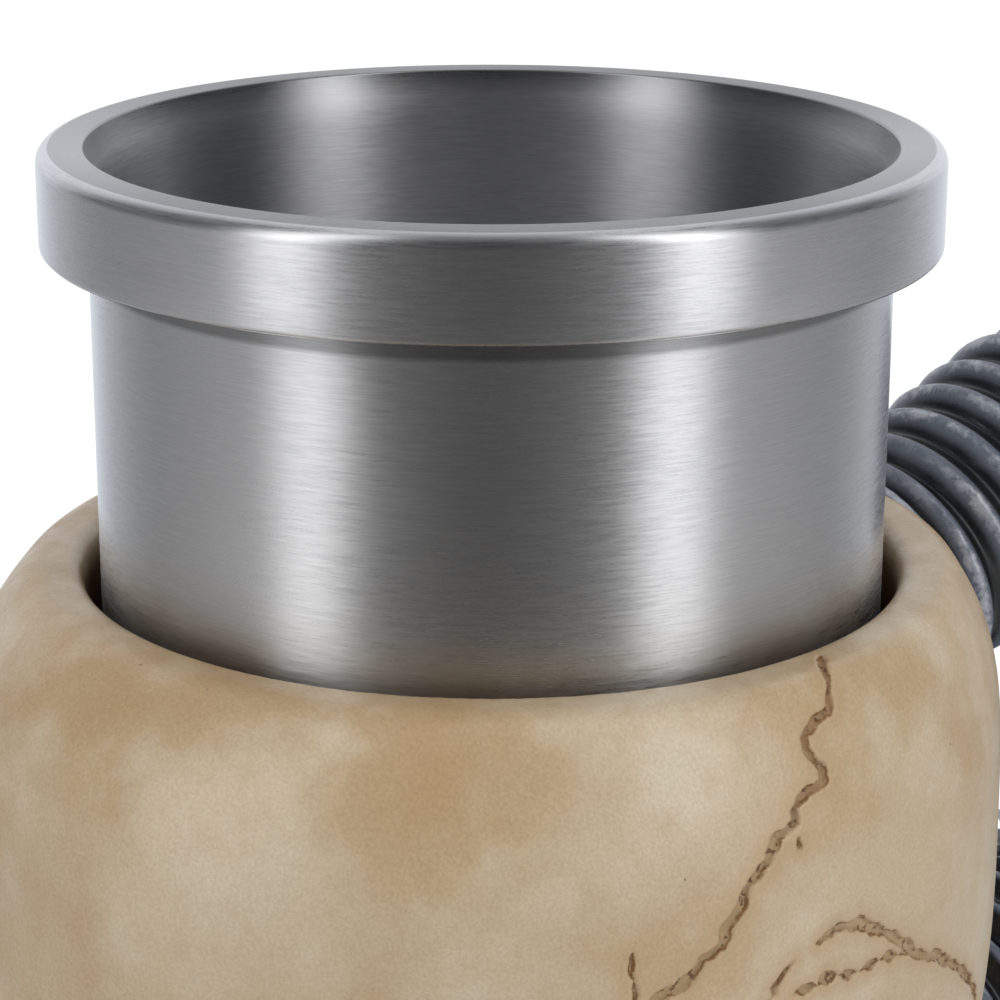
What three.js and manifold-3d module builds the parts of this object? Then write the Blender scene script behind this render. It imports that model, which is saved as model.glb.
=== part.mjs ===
// Skull mug: a cast resin skull with a lift-out steel cup standing raised in its
// pocket, and a handle cast as a ribbed hose. Millimetres, +Z up, table at zero,
// cup axis on Z, face along -Y, handle along +Y.
import * as THREE from "three";
import { mergeVertices } from "three/addons/utils/BufferGeometryUtils.js";
import Module from "manifold-3d";

const wasm = await Module();
wasm.setup();

// Clearance left for the glue between cemented pieces
const GLUE_GAP = 0.3;

// Steel cup: one drawn sheet whose mouth is folded outward into a deep band
const CUP_RADIUS = 39.3;
const CUP_DEPTH = 72;
const CUP_SHEET = 0.8;
const CUP_HEEL_RADIUS = 7;
const BAND_OVERHANG = 4.7;
const BAND_HEIGHT = 9.7;
const BAND_OUTER_ROUND = 1.4;
const BAND_INNER_ROUND = 1.1;
const CUP_LIFT = 32.3;

// Pocket in the skull that takes the cup
const CUP_RUNNING_CLEARANCE = 0.5;
const MOUTH_FLARE = 1.4;
const MOUTH_FLARE_DEPTH = 9;
const POCKET_FLOOR_CLEARANCE = 2;
const POCKET_HEEL_RADIUS = 6;
const LIP_ROUND = 1.2;

// Skull casting
const LIP_HEIGHT = 108;
const SIDE_WALL = 10.3;
const FOREHEAD_WALL = 15.8;
const REAR_WALL = 11.8;
const LIP_WALL = 5;
const CROWN_DROP = 26;
const CROWN_SQUARENESS = 3;
const CRANIUM_REACH = 84;
const CRANIUM_SQUARENESS = 2.4;
const BONE_BLEND = 7;

// Face bones of the left half, mirrored to the right. A place is out from the middle,
// back from the forehead and up from the table; a lump has a radius along each of these,
// a strut a radius at each end.
const FACE_LUMPS = [
  { name: "upper jaw", centre: [0, 15, 24], radii: [25, 16, 20] },
  { name: "tooth ridge", centre: [0, 22, 14], radii: [25, 23, 9] },
  { name: "ear base", centre: [36, 72, 17], radii: [9, 11, 15] },
  { name: "back of the head", centre: [0, 95, 60], radii: [26, 20, 22] },
  { name: "cheek", centre: [35, 11.5, 36], radii: [11, 10, 8] },
];
const FACE_STRUTS = [
  { name: "inner brow", from: [8, 2.5, 65], to: [26, 4, 68.5], radii: [5.5, 5] },
  { name: "outer brow", from: [26, 4, 68.5], to: [40, 15, 59], radii: [5, 4.5] },
  { name: "temple rim", from: [40, 15, 59], to: [40.5, 15.5, 42], radii: [4.5, 5] },
  { name: "lower rim", from: [35, 10, 37], to: [14, 3, 36], radii: [4.5, 4.5] },
  { name: "side of the nose", from: [13, 3, 36], to: [6, 1, 58], radii: [5, 4] },
  { name: "nose bridge", from: [0, 2, 62], to: [0, -4.5, 47], radii: [5, 4] },
  { name: "front cheek arch", from: [42, 19, 36.5], to: [49.5, 38, 37], radii: [5, 4] },
  { name: "rear cheek arch", from: [49.5, 38, 37], to: [50, 60, 40], radii: [4, 4] },
];
const FACE_HOLLOWS = [
  { name: "temple", centre: [57, 27, 53], radii: [14, 18, 17], blend: 8 },
  { name: "under the cheek arch", centre: [46, 38, 18], radii: [17, 17, 15], blend: 6 },
  { name: "beside the nose", centre: [20, -7, 27], radii: [8, 8, 9], blend: 6 },
];

// Base and its glued pad
const PAD_THICKNESS = 2;
const PAD_HALF_WIDTH = 29;
const PAD_HALF_LENGTH = 36;
const PAD_MARGIN = 2.5;
const BASE_BLOCK_HEIGHT = 14;

// Eye sockets, nose and upper teeth
const EYE_SPACING = 45;
const EYE_HEIGHT = 50.5;
const EYE_WIDTH = 29;
const EYE_TALL = 25;
const EYE_TILT = 9;
const EYE_FLOOR_WALL = 7;
const NOSE_FOOT_HEIGHT = 25;
const NOSE_TOP_HEIGHT = 47;
const NOSE_WIDTH = 18;
const NOSE_DEPTH = 11;
const TOOTH_ARCH_HALF_WIDTH = 21.5;
const TOOTH_ARCH_LENGTH = 25.5;
const TOOTH_ARCH_SETBACK = 26.5;
const TOOTH_HEIGHT = 9;
const TOOTH_FOOT_HEIGHT = 3.4;
const TOOTH_DEPTH = 5.6;
const TOOTH_WIDTHS = [6.3, 5, 5.6, 5.2, 5, 7.2, 7];

// Hose handle, its two collars and its two steel pins
const HOSE_RADIUS = 15;
const RIB_HEIGHT = 2.2;
const RIB_PITCH = 5.7;
const UPPER_ROOT_DROP = 18.9;
const UPPER_ROOT_ANGLE = 14;
const UPPER_SEAT_WALL = 10.8;
const UPPER_LEG_LENGTH = 24.5;
const UPPER_LEG_ANGLE = 20;
const ROOT_CURVE_RADIUS = 60;
const UPPER_BEND_RADIUS = 20;
const GRIP_LENGTH = 28;
const GRIP_ANGLE = -97;
const LOWER_BEND_RADIUS = 24;
const LOWER_LEG_ANGLE = -172;
const LOWER_SEAT_WALL = 8.8;
const COLLAR_WALL = 2.3;
const COLLAR_LENGTH = 7;
const COLLAR_SEAT_DEPTH = 3.5;
const COLLAR_ROUND = 1.8;
const HOSE_BOSS_WALL = 2.2;
const PIN_RADIUS = 2.5;
const PIN_IN_SKULL = 6;
const PIN_IN_HOSE = 12;

// Mesh fineness
const SKULL_COLUMNS = 70;
const SKULL_ROWS = 35;
const SKULL_SOFTENING = 1;
const CUP_SEGMENTS = 48;
const HOSE_SIDES = 14;
const RING_SEGMENTS = 32;

// Sizes that follow from the values above
const GUIDE_RADIUS = CUP_RADIUS + CUP_RUNNING_CLEARANCE;
const POCKET_RADIUS = GUIDE_RADIUS + MOUTH_FLARE;
const POCKET_FLOOR = LIP_HEIGHT - CUP_DEPTH - POCKET_FLOOR_CLEARANCE;
const CRANIUM_SIDE = POCKET_RADIUS + SIDE_WALL;
const CRANIUM_FRONT = POCKET_RADIUS + FOREHEAD_WALL;
const CRANIUM_REAR = POCKET_RADIUS + REAR_WALL;
const CROWN_HEIGHT = LIP_HEIGHT - CROWN_DROP;
const LIP_RADIUS = POCKET_RADIUS + LIP_WALL;
const SPIGOT_RADIUS = HOSE_RADIUS - RIB_HEIGHT;
const COLLAR_BORE = SPIGOT_RADIUS + GLUE_GAP;
const COLLAR_RADIUS = COLLAR_BORE + COLLAR_WALL;
const HOSE_BOSS_RADIUS = COLLAR_RADIUS + HOSE_BOSS_WALL;

const radians = THREE.MathUtils.degToRad;

// Solid from a geometry, for joining and cutting
function solid(geometry) {
  const plain = geometry.clone();
  plain.deleteAttribute("normal");
  plain.deleteAttribute("uv");
  const merged = mergeVertices(plain, 1e-4);
  return new wasm.Manifold(new wasm.Mesh({
    numProp: 3,
    vertProperties: new Float32Array(merged.attributes.position.array),
    triVerts: new Uint32Array(merged.index.array),
  }));
}

function geometryOf(manifold) {
  const mesh = manifold.getMesh();
  const geometry = new THREE.BufferGeometry();
  geometry.setAttribute("position", new THREE.BufferAttribute(mesh.vertProperties, 3));
  geometry.setIndex(new THREE.BufferAttribute(mesh.triVerts, 1));
  geometry.computeVertexNormals();
  return geometry;
}

// Closed skin over a stack of rings with the same number of points, ends capped
function ringSkin(rings) {
  const around = rings[0].length;
  const points = rings.flat();
  const faces = [];
  const quad = (a, b, c, d, mirrored) => {
    faces.push(...(mirrored ? [b, c, d, b, d, a] : [a, b, c, a, c, d]));
  };
  for (let row = 0; row + 1 < rings.length; row += 1) {
    for (let column = 0; column < around; column += 1) {
      const next = (column + 1) % around;
      const low = row * around;
      const high = low + around;
      quad(low + column, low + next, high + next, high + column, 2 * column < around);
    }
  }
  const centreOf = (ring) => ring.reduce((sum, p) => sum.add(p), new THREE.Vector3())
    .divideScalar(around);
  const foot = points.push(centreOf(rings[0])) - 1;
  const head = points.push(centreOf(rings[rings.length - 1])) - 1;
  const top = (rings.length - 1) * around;
  for (let column = 0; column < around; column += 1) {
    const next = (column + 1) % around;
    faces.push(foot, next, column);
    faces.push(head, top + column, top + next);
  }
  const geometry = new THREE.BufferGeometry().setFromPoints(points);
  geometry.setIndex(faces);
  return geometry;
}

// Quarter round from one direction to another about a centre in a profile
function roundCorner(centreX, centreY, radius, fromDegrees, toDegrees, steps) {
  return Array.from({ length: steps + 1 }, (_, step) => {
    const angle = radians(THREE.MathUtils.lerp(fromDegrees, toDegrees, step / steps));
    return new THREE.Vector2(centreX + radius * Math.cos(angle), centreY + radius * Math.sin(angle));
  });
}

// Revolved solid on the Z axis from a profile of radius and height
function revolve(profile, segments) {
  return new THREE.LatheGeometry(profile, segments).rotateX(Math.PI / 2);
}

// Hose path in the plane X = 0, from the upper seat over the grip to the lower seat
function hosePieces() {
  const start = new THREE.Vector2(POCKET_RADIUS + UPPER_SEAT_WALL, LIP_HEIGHT - UPPER_ROOT_DROP);
  const bend = (radius, from, to) => ({
    length: radius * Math.abs(radians(to - from)),
    turn: radians(to - from),
  });
  const pieces = [
    { length: COLLAR_LENGTH + GLUE_GAP, turn: 0 },
    bend(ROOT_CURVE_RADIUS, UPPER_ROOT_ANGLE, UPPER_LEG_ANGLE),
    { length: UPPER_LEG_LENGTH, turn: 0 },
    bend(UPPER_BEND_RADIUS, UPPER_LEG_ANGLE, GRIP_ANGLE),
    { length: GRIP_LENGTH, turn: 0 },
    bend(LOWER_BEND_RADIUS, GRIP_ANGLE, LOWER_LEG_ANGLE),
  ];
  const reached = walk(start, radians(UPPER_ROOT_ANGLE), pieces, Infinity);
  const legReach = reached.point.x - POCKET_RADIUS - LOWER_SEAT_WALL;
  pieces.push({ length: legReach / -Math.cos(reached.heading), turn: 0 });
  return { start, pieces };
}

// Place and heading after a distance along straight and evenly bent pieces
function walk(start, heading, pieces, distance) {
  const point = start.clone();
  let left = distance;
  for (const piece of pieces) {
    const step = Math.min(left, piece.length);
    const swing = piece.turn * step / piece.length;
    const chord = swing === 0 ? step : step * Math.sin(swing / 2) / (swing / 2);
    point.x += chord * Math.cos(heading + swing / 2);
    point.y += chord * Math.sin(heading + swing / 2);
    heading += swing;
    left -= step;
  }
  return { point, heading };
}

const hose = hosePieces();
const hoseLength = hose.pieces.reduce((sum, piece) => sum + piece.length, 0);
const hoseAt = (distance) => walk(hose.start, radians(UPPER_ROOT_ANGLE), hose.pieces, distance);

// The two seats: the place on the skull and the outward direction of the hose there
const upperEnd = hoseAt(0);
const lowerEnd = hoseAt(hoseLength);
const seats = {
  upper: { point: upperEnd.point, angle: upperEnd.heading },
  lower: { point: lowerEnd.point, angle: lowerEnd.heading + Math.PI },
};

// Geometry made along +Z, moved to a seat so that +Z leads outward along the hose
function atSeat(geometry, seat, along) {
  const lean = new THREE.Matrix4().makeRotationX(seat.angle - Math.PI / 2);
  const place = new THREE.Matrix4().makeTranslation(0, seat.point.x, seat.point.y);
  return geometry.translate(0, 0, along).applyMatrix4(lean).applyMatrix4(place);
}

const rod = (radius, length, segments) => revolve([
  new THREE.Vector2(0, 0),
  new THREE.Vector2(radius, 0),
  new THREE.Vector2(radius, length),
  new THREE.Vector2(0, length),
], segments);

// Distances to simple bone shapes, negative inside
function lump(p, centre, radii) {
  const scaled = p.map((value, axis) => (value - centre[axis]) / radii[axis]);
  const near = Math.hypot(...scaled);
  const slope = Math.hypot(...scaled.map((value, axis) => value / radii[axis]));
  return slope === 0 ? -Math.min(...radii) : near * (near - 1) / slope;
}

function strut(p, from, to, fromRadius, toRadius) {
  const run = to.map((value, axis) => value - from[axis]);
  const reach = p.map((value, axis) => value - from[axis]);
  const dot = (a, b) => a[0] * b[0] + a[1] * b[1] + a[2] * b[2];
  const share = THREE.MathUtils.clamp(dot(reach, run) / dot(run, run), 0, 1);
  const off = Math.hypot(...reach.map((value, axis) => value - share * run[axis]));
  return off - THREE.MathUtils.lerp(fromRadius, toRadius, share);
}

function join(a, b, blend = BONE_BLEND) {
  const overlap = Math.max(blend - Math.abs(a - b), 0) / blend;
  return Math.min(a, b) - overlap * overlap * blend / 4;
}

const carve = (body, hollow, blend) => -join(-body, hollow, blend);

// Brain case: an egg, widest below the lip, with a squared shoulder that comes in to
// the round lip from every side
function cranium([x, y, z]) {
  const along = y / (y < 0 ? CRANIUM_FRONT : CRANIUM_REAR);
  const across = Math.hypot(x / CRANIUM_SIDE, along);
  const above = z > CROWN_HEIGHT;
  const power = above ? CROWN_SQUARENESS : CRANIUM_SQUARENESS;
  const widest = across > 0 ? Math.hypot(x, y) / across : CRANIUM_SIDE;
  const shoulder = CROWN_DROP / (1 - (LIP_RADIUS / widest) ** power) ** (1 / power);
  const rise = Math.abs(z - CROWN_HEIGHT) / (above ? shoulder : CRANIUM_REACH);
  return ((across ** power + rise ** power) ** (1 / power) - 1) * CRANIUM_SIDE;
}

// Block under the brain case that carries the pad
function baseBlock([x, y, z]) {
  const halfWidth = PAD_HALF_WIDTH + PAD_MARGIN;
  const halfLength = PAD_HALF_LENGTH + PAD_MARGIN;
  const across = (Math.hypot(x / halfWidth, y / halfLength) - 1) * halfWidth;
  return Math.max(across, z - BASE_BLOCK_HEIGHT);
}

// Swelling round one hose seat, level with the seated depth of its collar
function hoseBoss(p, { point, angle }) {
  const at = (along) => [0, point.x + along * Math.cos(angle), point.y + along * Math.sin(angle)];
  const radius = HOSE_BOSS_RADIUS;
  const cap = Math.sqrt(radius ** 2 - COLLAR_RADIUS ** 2);
  return strut(p, at(-radius), at(COLLAR_SEAT_DEPTH - cap), radius, radius);
}

// Whole skin of the skull, without the cuts that are made with solids
function skullField([x, y, z]) {
  const p = [Math.abs(x), y, z];
  const back = ([out, behind, up]) => [out, behind - CRANIUM_FRONT, up];
  let body = join(cranium(p), baseBlock(p));
  for (const { centre, radii } of FACE_LUMPS) {
    body = join(body, lump(p, back(centre), radii));
  }
  for (const { from, to, radii } of FACE_STRUTS) {
    body = join(body, strut(p, back(from), back(to), ...radii));
  }
  for (const seat of Object.values(seats)) {
    body = join(body, hoseBoss(p, seat));
  }
  for (const { centre, radii, blend } of FACE_HOLLOWS) {
    body = carve(body, lump(p, back(centre), radii), blend);
  }
  return body;
}

// Direction of each column of the skull, closer together over the face
function columnAngle(column) {
  const turn = 2 * Math.PI * column / SKULL_COLUMNS;
  return turn - 0.35 * Math.sin(turn) - Math.PI / 2;
}

// Distance from the cup axis to the skin of the skull in one direction at one height
function skinReach(angle, height) {
  const at = (reach) => [reach * Math.cos(angle), reach * Math.sin(angle), height];
  const step = 1.5;
  let near = CRANIUM_FRONT * 1.5;
  while (near > step && skullField(at(near)) > 0) {
    near -= step;
  }
  let far = near + step;
  for (let halving = 0; halving < 12; halving += 1) {
    const middle = (near + far) / 2;
    if (skullField(at(middle)) > 0) {
      far = middle;
    } else {
      near = middle;
    }
  }
  return near;
}

// Each reach eased toward its neighbours, as a casting softens its edges
function soften(reaches) {
  const ease = (before, here, after) => (before + 2 * here + after) / 4;
  const around = reaches.map((row) => row.map((reach, column) =>
    ease(row.at(column - 1), reach, row[(column + 1) % row.length])));
  return around.map((row, index) => row.map((reach, column) => {
    const below = around[index - 1];
    const above = around[index + 1];
    return below && above ? ease(below[column], reach, above[column]) : reach;
  }));
}

// Level outlines of the skull from the pad up to the lip
function skullRings() {
  const rows = Array.from({ length: SKULL_ROWS + 1 }, (_, row) => row);
  const columns = Array.from({ length: SKULL_COLUMNS }, (_, column) => column);
  const heightOf = (row) => THREE.MathUtils.lerp(PAD_THICKNESS, LIP_HEIGHT, row / SKULL_ROWS);
  let reaches = rows.map((row) => columns.map((column) =>
    skinReach(columnAngle(column), heightOf(row))));
  for (let pass = 0; pass < SKULL_SOFTENING; pass += 1) {
    reaches = soften(reaches);
  }
  return reaches.map((level, row) => level.map((reach, column) => new THREE.Vector3(
    reach * Math.cos(columnAngle(column)),
    reach * Math.sin(columnAngle(column)),
    heightOf(row),
  )));
}

// Ball stretched to a size, for hollows with rounded floors
const hollow = (radii) => new THREE.SphereGeometry(1, 16, 10).scale(...radii);

// Both eye sockets, tilted down at their outer corners
function eyeSockets() {
  const offset = EYE_SPACING / 2;
  const floor = Math.sqrt((POCKET_RADIUS + EYE_FLOOR_WALL) ** 2 - offset ** 2);
  const depth = CRANIUM_FRONT - floor;
  return [1, -1].map((side) => hollow([EYE_WIDTH / 2, depth, EYE_TALL / 2])
    .rotateY(side * radians(EYE_TILT))
    .translate(side * offset, -CRANIUM_FRONT, EYE_HEIGHT));
}

// Pear-shaped nose opening: two lobes at the foot and one narrowing upward
function noseOpening() {
  const face = -CRANIUM_FRONT - NOSE_DEPTH / 4;
  const lobe = NOSE_WIDTH / 3;
  const tall = (NOSE_TOP_HEIGHT - NOSE_FOOT_HEIGHT) / 2;
  const foot = NOSE_FOOT_HEIGHT + lobe;
  return [
    ...[1, -1].map((side) => hollow([lobe, NOSE_DEPTH, lobe])
      .translate(side * lobe / 2, face, foot)),
    hollow([lobe * 0.8, NOSE_DEPTH, tall]).translate(0, face, NOSE_TOP_HEIGHT - tall),
  ];
}

// Crown of one tooth: a ball squared off toward a rounded block
function toothCrown(width) {
  const crown = new THREE.SphereGeometry(1, 8, 6).rotateX(Math.PI / 2);
  const place = crown.attributes.position;
  const square = (value) => Math.sign(value) * Math.abs(value) ** 0.6;
  for (let index = 0; index < place.count; index += 1) {
    place.setXYZ(
      index,
      square(place.getX(index)) * width / 2,
      square(place.getY(index)) * TOOTH_DEPTH / 2,
      square(place.getZ(index)) * TOOTH_HEIGHT / 2,
    );
  }
  return crown;
}

// Upper teeth set round the arch from the front toward the back on both sides
function upperTeeth() {
  const teeth = [];
  const archAt = (angle) => new THREE.Vector2(
    TOOTH_ARCH_HALF_WIDTH * Math.sin(angle),
    TOOTH_ARCH_SETBACK - CRANIUM_FRONT - TOOTH_ARCH_LENGTH * Math.cos(angle),
  );
  const archStep = (angle) => Math.hypot(
    TOOTH_ARCH_HALF_WIDTH * Math.cos(angle),
    TOOTH_ARCH_LENGTH * Math.sin(angle),
  );
  let angle = 0;
  for (const width of TOOTH_WIDTHS) {
    angle += width / 2 / archStep(angle);
    const spot = archAt(angle);
    const out = Math.atan2(
      Math.sin(angle) / TOOTH_ARCH_HALF_WIDTH,
      Math.cos(angle) / TOOTH_ARCH_LENGTH,
    );
    for (const side of [1, -1]) {
      const crown = toothCrown(width).rotateZ(side * out);
      teeth.push(crown.translate(side * spot.x, spot.y, TOOTH_FOOT_HEIGHT + TOOTH_HEIGHT / 2));
    }
    angle += width / 2 / archStep(angle);
  }
  return teeth;
}

function skullCasting() {
  let body = solid(ringSkin(skullRings()));
  for (const tooth of upperTeeth()) {
    body = body.add(solid(tooth));
  }
  for (const opening of [...eyeSockets(), ...noseOpening()]) {
    body = body.subtract(solid(opening));
  }
  const above = LIP_HEIGHT + LIP_ROUND;
  const heel = POCKET_HEEL_RADIUS;
  body = body.subtract(solid(revolve([
    new THREE.Vector2(0, POCKET_FLOOR),
    ...roundCorner(GUIDE_RADIUS - heel, POCKET_FLOOR + heel, heel, -90, 0, 4),
    new THREE.Vector2(GUIDE_RADIUS, LIP_HEIGHT - MOUTH_FLARE_DEPTH),
    ...roundCorner(POCKET_RADIUS + LIP_ROUND, LIP_HEIGHT - LIP_ROUND, LIP_ROUND, 180, 90, 3),
    new THREE.Vector2(POCKET_RADIUS + LIP_ROUND, above),
    new THREE.Vector2(0, above),
  ], CUP_SEGMENTS)));
  for (const seat of Object.values(seats)) {
    const socket = rod(COLLAR_RADIUS + GLUE_GAP, CRANIUM_REAR, RING_SEGMENTS);
    body = body.subtract(solid(atSeat(socket, seat, -GLUE_GAP)));
    const hole = rod(PIN_RADIUS + GLUE_GAP, PIN_IN_SKULL + 2, 12);
    body = body.subtract(solid(atSeat(hole, seat, -PIN_IN_SKULL - GLUE_GAP)));
  }
  return geometryOf(body);
}

function insertCup() {
  const foot = LIP_HEIGHT - CUP_DEPTH + CUP_LIFT;
  const underBand = foot + CUP_DEPTH;
  const top = underBand + BAND_HEIGHT;
  const bore = CUP_RADIUS - CUP_SHEET;
  const band = CUP_RADIUS + BAND_OVERHANG;
  const innerHeel = CUP_HEEL_RADIUS - CUP_SHEET;
  return revolve([
    new THREE.Vector2(0, foot),
    ...roundCorner(CUP_RADIUS - CUP_HEEL_RADIUS, foot + CUP_HEEL_RADIUS, CUP_HEEL_RADIUS, -90, 0, 4),
    new THREE.Vector2(CUP_RADIUS, top - CUP_SHEET - BAND_INNER_ROUND),
    new THREE.Vector2(CUP_RADIUS + BAND_INNER_ROUND, top - CUP_SHEET),
    new THREE.Vector2(band - BAND_OUTER_ROUND, top - CUP_SHEET),
    new THREE.Vector2(band - CUP_SHEET, top - BAND_OUTER_ROUND),
    new THREE.Vector2(band - CUP_SHEET, underBand),
    new THREE.Vector2(band, underBand),
    ...roundCorner(band - BAND_OUTER_ROUND, top - BAND_OUTER_ROUND, BAND_OUTER_ROUND, 0, 90, 3),
    ...roundCorner(bore + BAND_INNER_ROUND, top - BAND_INNER_ROUND, BAND_INNER_ROUND, 90, 180, 3),
    ...roundCorner(bore - innerHeel, foot + CUP_HEEL_RADIUS, innerHeel, 0, -90, 4),
    new THREE.Vector2(0, foot + CUP_SHEET),
  ], CUP_SEGMENTS);
}

// Hose casting: plain spigots at both ends, rounded ribs between them
function hoseHandle() {
  const ribFrom = COLLAR_LENGTH + GLUE_GAP;
  const ribTo = hoseLength - ribFrom;
  const ribCount = Math.round((ribTo - ribFrom) / RIB_PITCH);
  const pitch = (ribTo - ribFrom) / ribCount;
  const stations = [[0, SPIGOT_RADIUS]];
  for (let rib = 0; rib < ribCount; rib += 1) {
    stations.push([ribFrom + rib * pitch, SPIGOT_RADIUS]);
    stations.push([ribFrom + (rib + 0.3) * pitch, HOSE_RADIUS]);
    stations.push([ribFrom + (rib + 0.7) * pitch, HOSE_RADIUS]);
  }
  stations.push([ribTo, SPIGOT_RADIUS], [hoseLength, SPIGOT_RADIUS]);
  const rings = stations.map(([along, radius]) => {
    const { point, heading } = hoseAt(along);
    return Array.from({ length: HOSE_SIDES }, (_, side) => {
      const turn = 2 * Math.PI * side / HOSE_SIDES;
      const up = radius * Math.sin(turn);
      return new THREE.Vector3(
        -radius * Math.cos(turn),
        point.x - up * Math.sin(heading),
        point.y + up * Math.cos(heading),
      );
    });
  });
  let body = solid(ringSkin(rings));
  for (const seat of Object.values(seats)) {
    const hole = rod(PIN_RADIUS + GLUE_GAP, PIN_IN_HOSE + GLUE_GAP + 2, 12);
    body = body.subtract(solid(atSeat(hole, seat, -2)));
  }
  return geometryOf(body);
}

const collar = (seat) => atSeat(revolve([
  new THREE.Vector2(COLLAR_BORE, 0),
  new THREE.Vector2(COLLAR_RADIUS, 0),
  ...roundCorner(
    COLLAR_RADIUS - COLLAR_ROUND, COLLAR_LENGTH - COLLAR_ROUND, COLLAR_ROUND, 0, 90, 3,
  ),
  new THREE.Vector2(COLLAR_BORE, COLLAR_LENGTH),
  new THREE.Vector2(COLLAR_BORE, 0),
], RING_SEGMENTS), seat, 0);

const pin = (seat) => atSeat(rod(PIN_RADIUS, PIN_IN_SKULL + PIN_IN_HOSE, 12), seat, -PIN_IN_SKULL);

function basePad() {
  const outline = new THREE.Shape();
  outline.absellipse(0, 0, PAD_HALF_WIDTH, PAD_HALF_LENGTH, 0, 2 * Math.PI);
  return new THREE.ExtrudeGeometry(outline, {
    depth: PAD_THICKNESS,
    bevelEnabled: false,
    curveSegments: RING_SEGMENTS,
  });
}

const bone = { color: 0xb59d7c, roughness: 0.5, metalness: 0 };
const steel = { color: 0xb4b8be, roughness: 0.3, metalness: 1 };
const blackened = { color: 0x1c1f24, roughness: 0.45, metalness: 0.1 };
const felt = { color: 0x2b2a28, roughness: 0.95, metalness: 0 };

const mug = new THREE.Group();
const place = (name, geometry, look) => {
  const mesh = new THREE.Mesh(geometry, new THREE.MeshStandardMaterial(look));
  mesh.name = name;
  mug.add(mesh);
};

place("skull_casting", skullCasting(), bone);
place("insert_cup", insertCup(), steel);
place("hose_handle", hoseHandle(), blackened);
place("upper_hose_collar", collar(seats.upper), blackened);
place("lower_hose_collar", collar(seats.lower), blackened);
place("upper_hose_pin", pin(seats.upper), steel);
place("lower_hose_pin", pin(seats.lower), steel);
place("base_pad", basePad(), felt);

export default mug;
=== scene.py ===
import math

import bmesh
import bpy
import numpy as np
from bpy.props import FloatProperty, FloatVectorProperty, PointerProperty
from mathutils import Matrix, Vector


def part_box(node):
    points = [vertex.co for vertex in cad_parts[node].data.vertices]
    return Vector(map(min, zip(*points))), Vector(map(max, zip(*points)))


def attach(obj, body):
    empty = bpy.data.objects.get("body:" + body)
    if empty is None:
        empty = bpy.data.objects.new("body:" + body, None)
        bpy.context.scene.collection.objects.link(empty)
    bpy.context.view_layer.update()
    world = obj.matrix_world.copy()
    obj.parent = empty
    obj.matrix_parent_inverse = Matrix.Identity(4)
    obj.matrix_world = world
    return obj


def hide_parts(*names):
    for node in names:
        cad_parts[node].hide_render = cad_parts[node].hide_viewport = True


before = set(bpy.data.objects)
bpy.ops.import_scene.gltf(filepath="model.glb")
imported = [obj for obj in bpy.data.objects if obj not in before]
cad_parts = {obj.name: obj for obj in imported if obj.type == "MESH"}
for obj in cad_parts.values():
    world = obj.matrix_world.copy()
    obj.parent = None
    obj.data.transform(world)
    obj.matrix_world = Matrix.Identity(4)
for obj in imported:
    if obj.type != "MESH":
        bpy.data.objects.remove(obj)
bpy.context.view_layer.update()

bl_info = {
    "name": "Skull Mug",
    "version": (1, 0, 0),
    "blender": (4, 5, 0),
    "location": "3D View > Sidebar > Skull Mug",
    "description": "Builds a cast skull mug with a lift-out steel cup and a ribbed hose handle",
    "category": "Object",
}

MM = 0.001


def node_box(name):
    """Lowest and highest corner of a solid of the frame, in millimetres."""
    low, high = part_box(name)
    return np.array(low) / MM, np.array(high) / MM


def tone(red, green, blue):
    """Scene colour of a screen colour given from 0 to 255."""
    share = np.array([red, green, blue]) / 255
    low = share / 12.92
    high = ((share + 0.055) / 1.055) ** 2.4
    return tuple(np.where(share <= 0.04045, low, high))


def size_of(label, text, default):
    """Length property in metres with its default in millimetres."""
    return FloatProperty(
        name=label, description=text, default=default * MM, unit="LENGTH", precision=5
    )


def angle_of(label, text, default):
    """Angle property with its default in degrees."""
    return FloatProperty(
        name=label, description=text, default=math.radians(default), subtype="ANGLE"
    )


def colour_of(label, text, default):
    """Colour property with its default as a screen colour."""
    return FloatVectorProperty(
        name=label, description=text, default=tone(*default), subtype="COLOR",
        min=0.0, max=1.0,
    )


def number_of(label, text, default):
    """Plain number property."""
    return FloatProperty(name=label, description=text, default=default)


SKULL_LOW, SKULL_HIGH = node_box("skull_casting")
CUP_LOW, CUP_HIGH = node_box("insert_cup")
PAD_LOW, PAD_HIGH = node_box("base_pad")
LIP = float(SKULL_HIGH[2])


class SkullSettings(bpy.types.PropertyGroup):
    """Sizes and colours of the cast skull."""

    side: size_of("Half breadth", "From the cup axis to the side of the head", 51.5)
    front: size_of("Forehead", "From the cup axis to the forehead", 57.0)
    rear: size_of("Rear", "From the cup axis to the back of the brain case", 53.0)
    lip: size_of("Lip radius", "Radius of the lip round the pocket", 46.2)
    guide: size_of("Pocket radius", "Radius of the pocket that takes the cup", 39.8)
    flare: size_of("Mouth flare", "How far the pocket opens toward the lip", 1.4)
    lattice: size_of("Lattice", "Spacing of the points on the skull", 1.36)
    seam_depth: size_of("Seam depth", "Depth of the grooves between the bones", 0.55)
    bone: colour_of("Bone", "Main colour of the bone", (191, 172, 143))
    pale: colour_of("Pale bone", "Colour of the rubbed patches", (203, 191, 170))
    ochre: colour_of("Ochre wash", "Colour of the washed clouds", (174, 145, 106))
    sepia: colour_of("Sepia wash", "Colour along the edges of the grooves", (126, 88, 48))
    umber: colour_of("Umber wash", "Colour in the pits and hollows", (92, 62, 36))
    floor: colour_of("Seam floor", "Colour of the floor of the grooves", (166, 140, 104))


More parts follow.
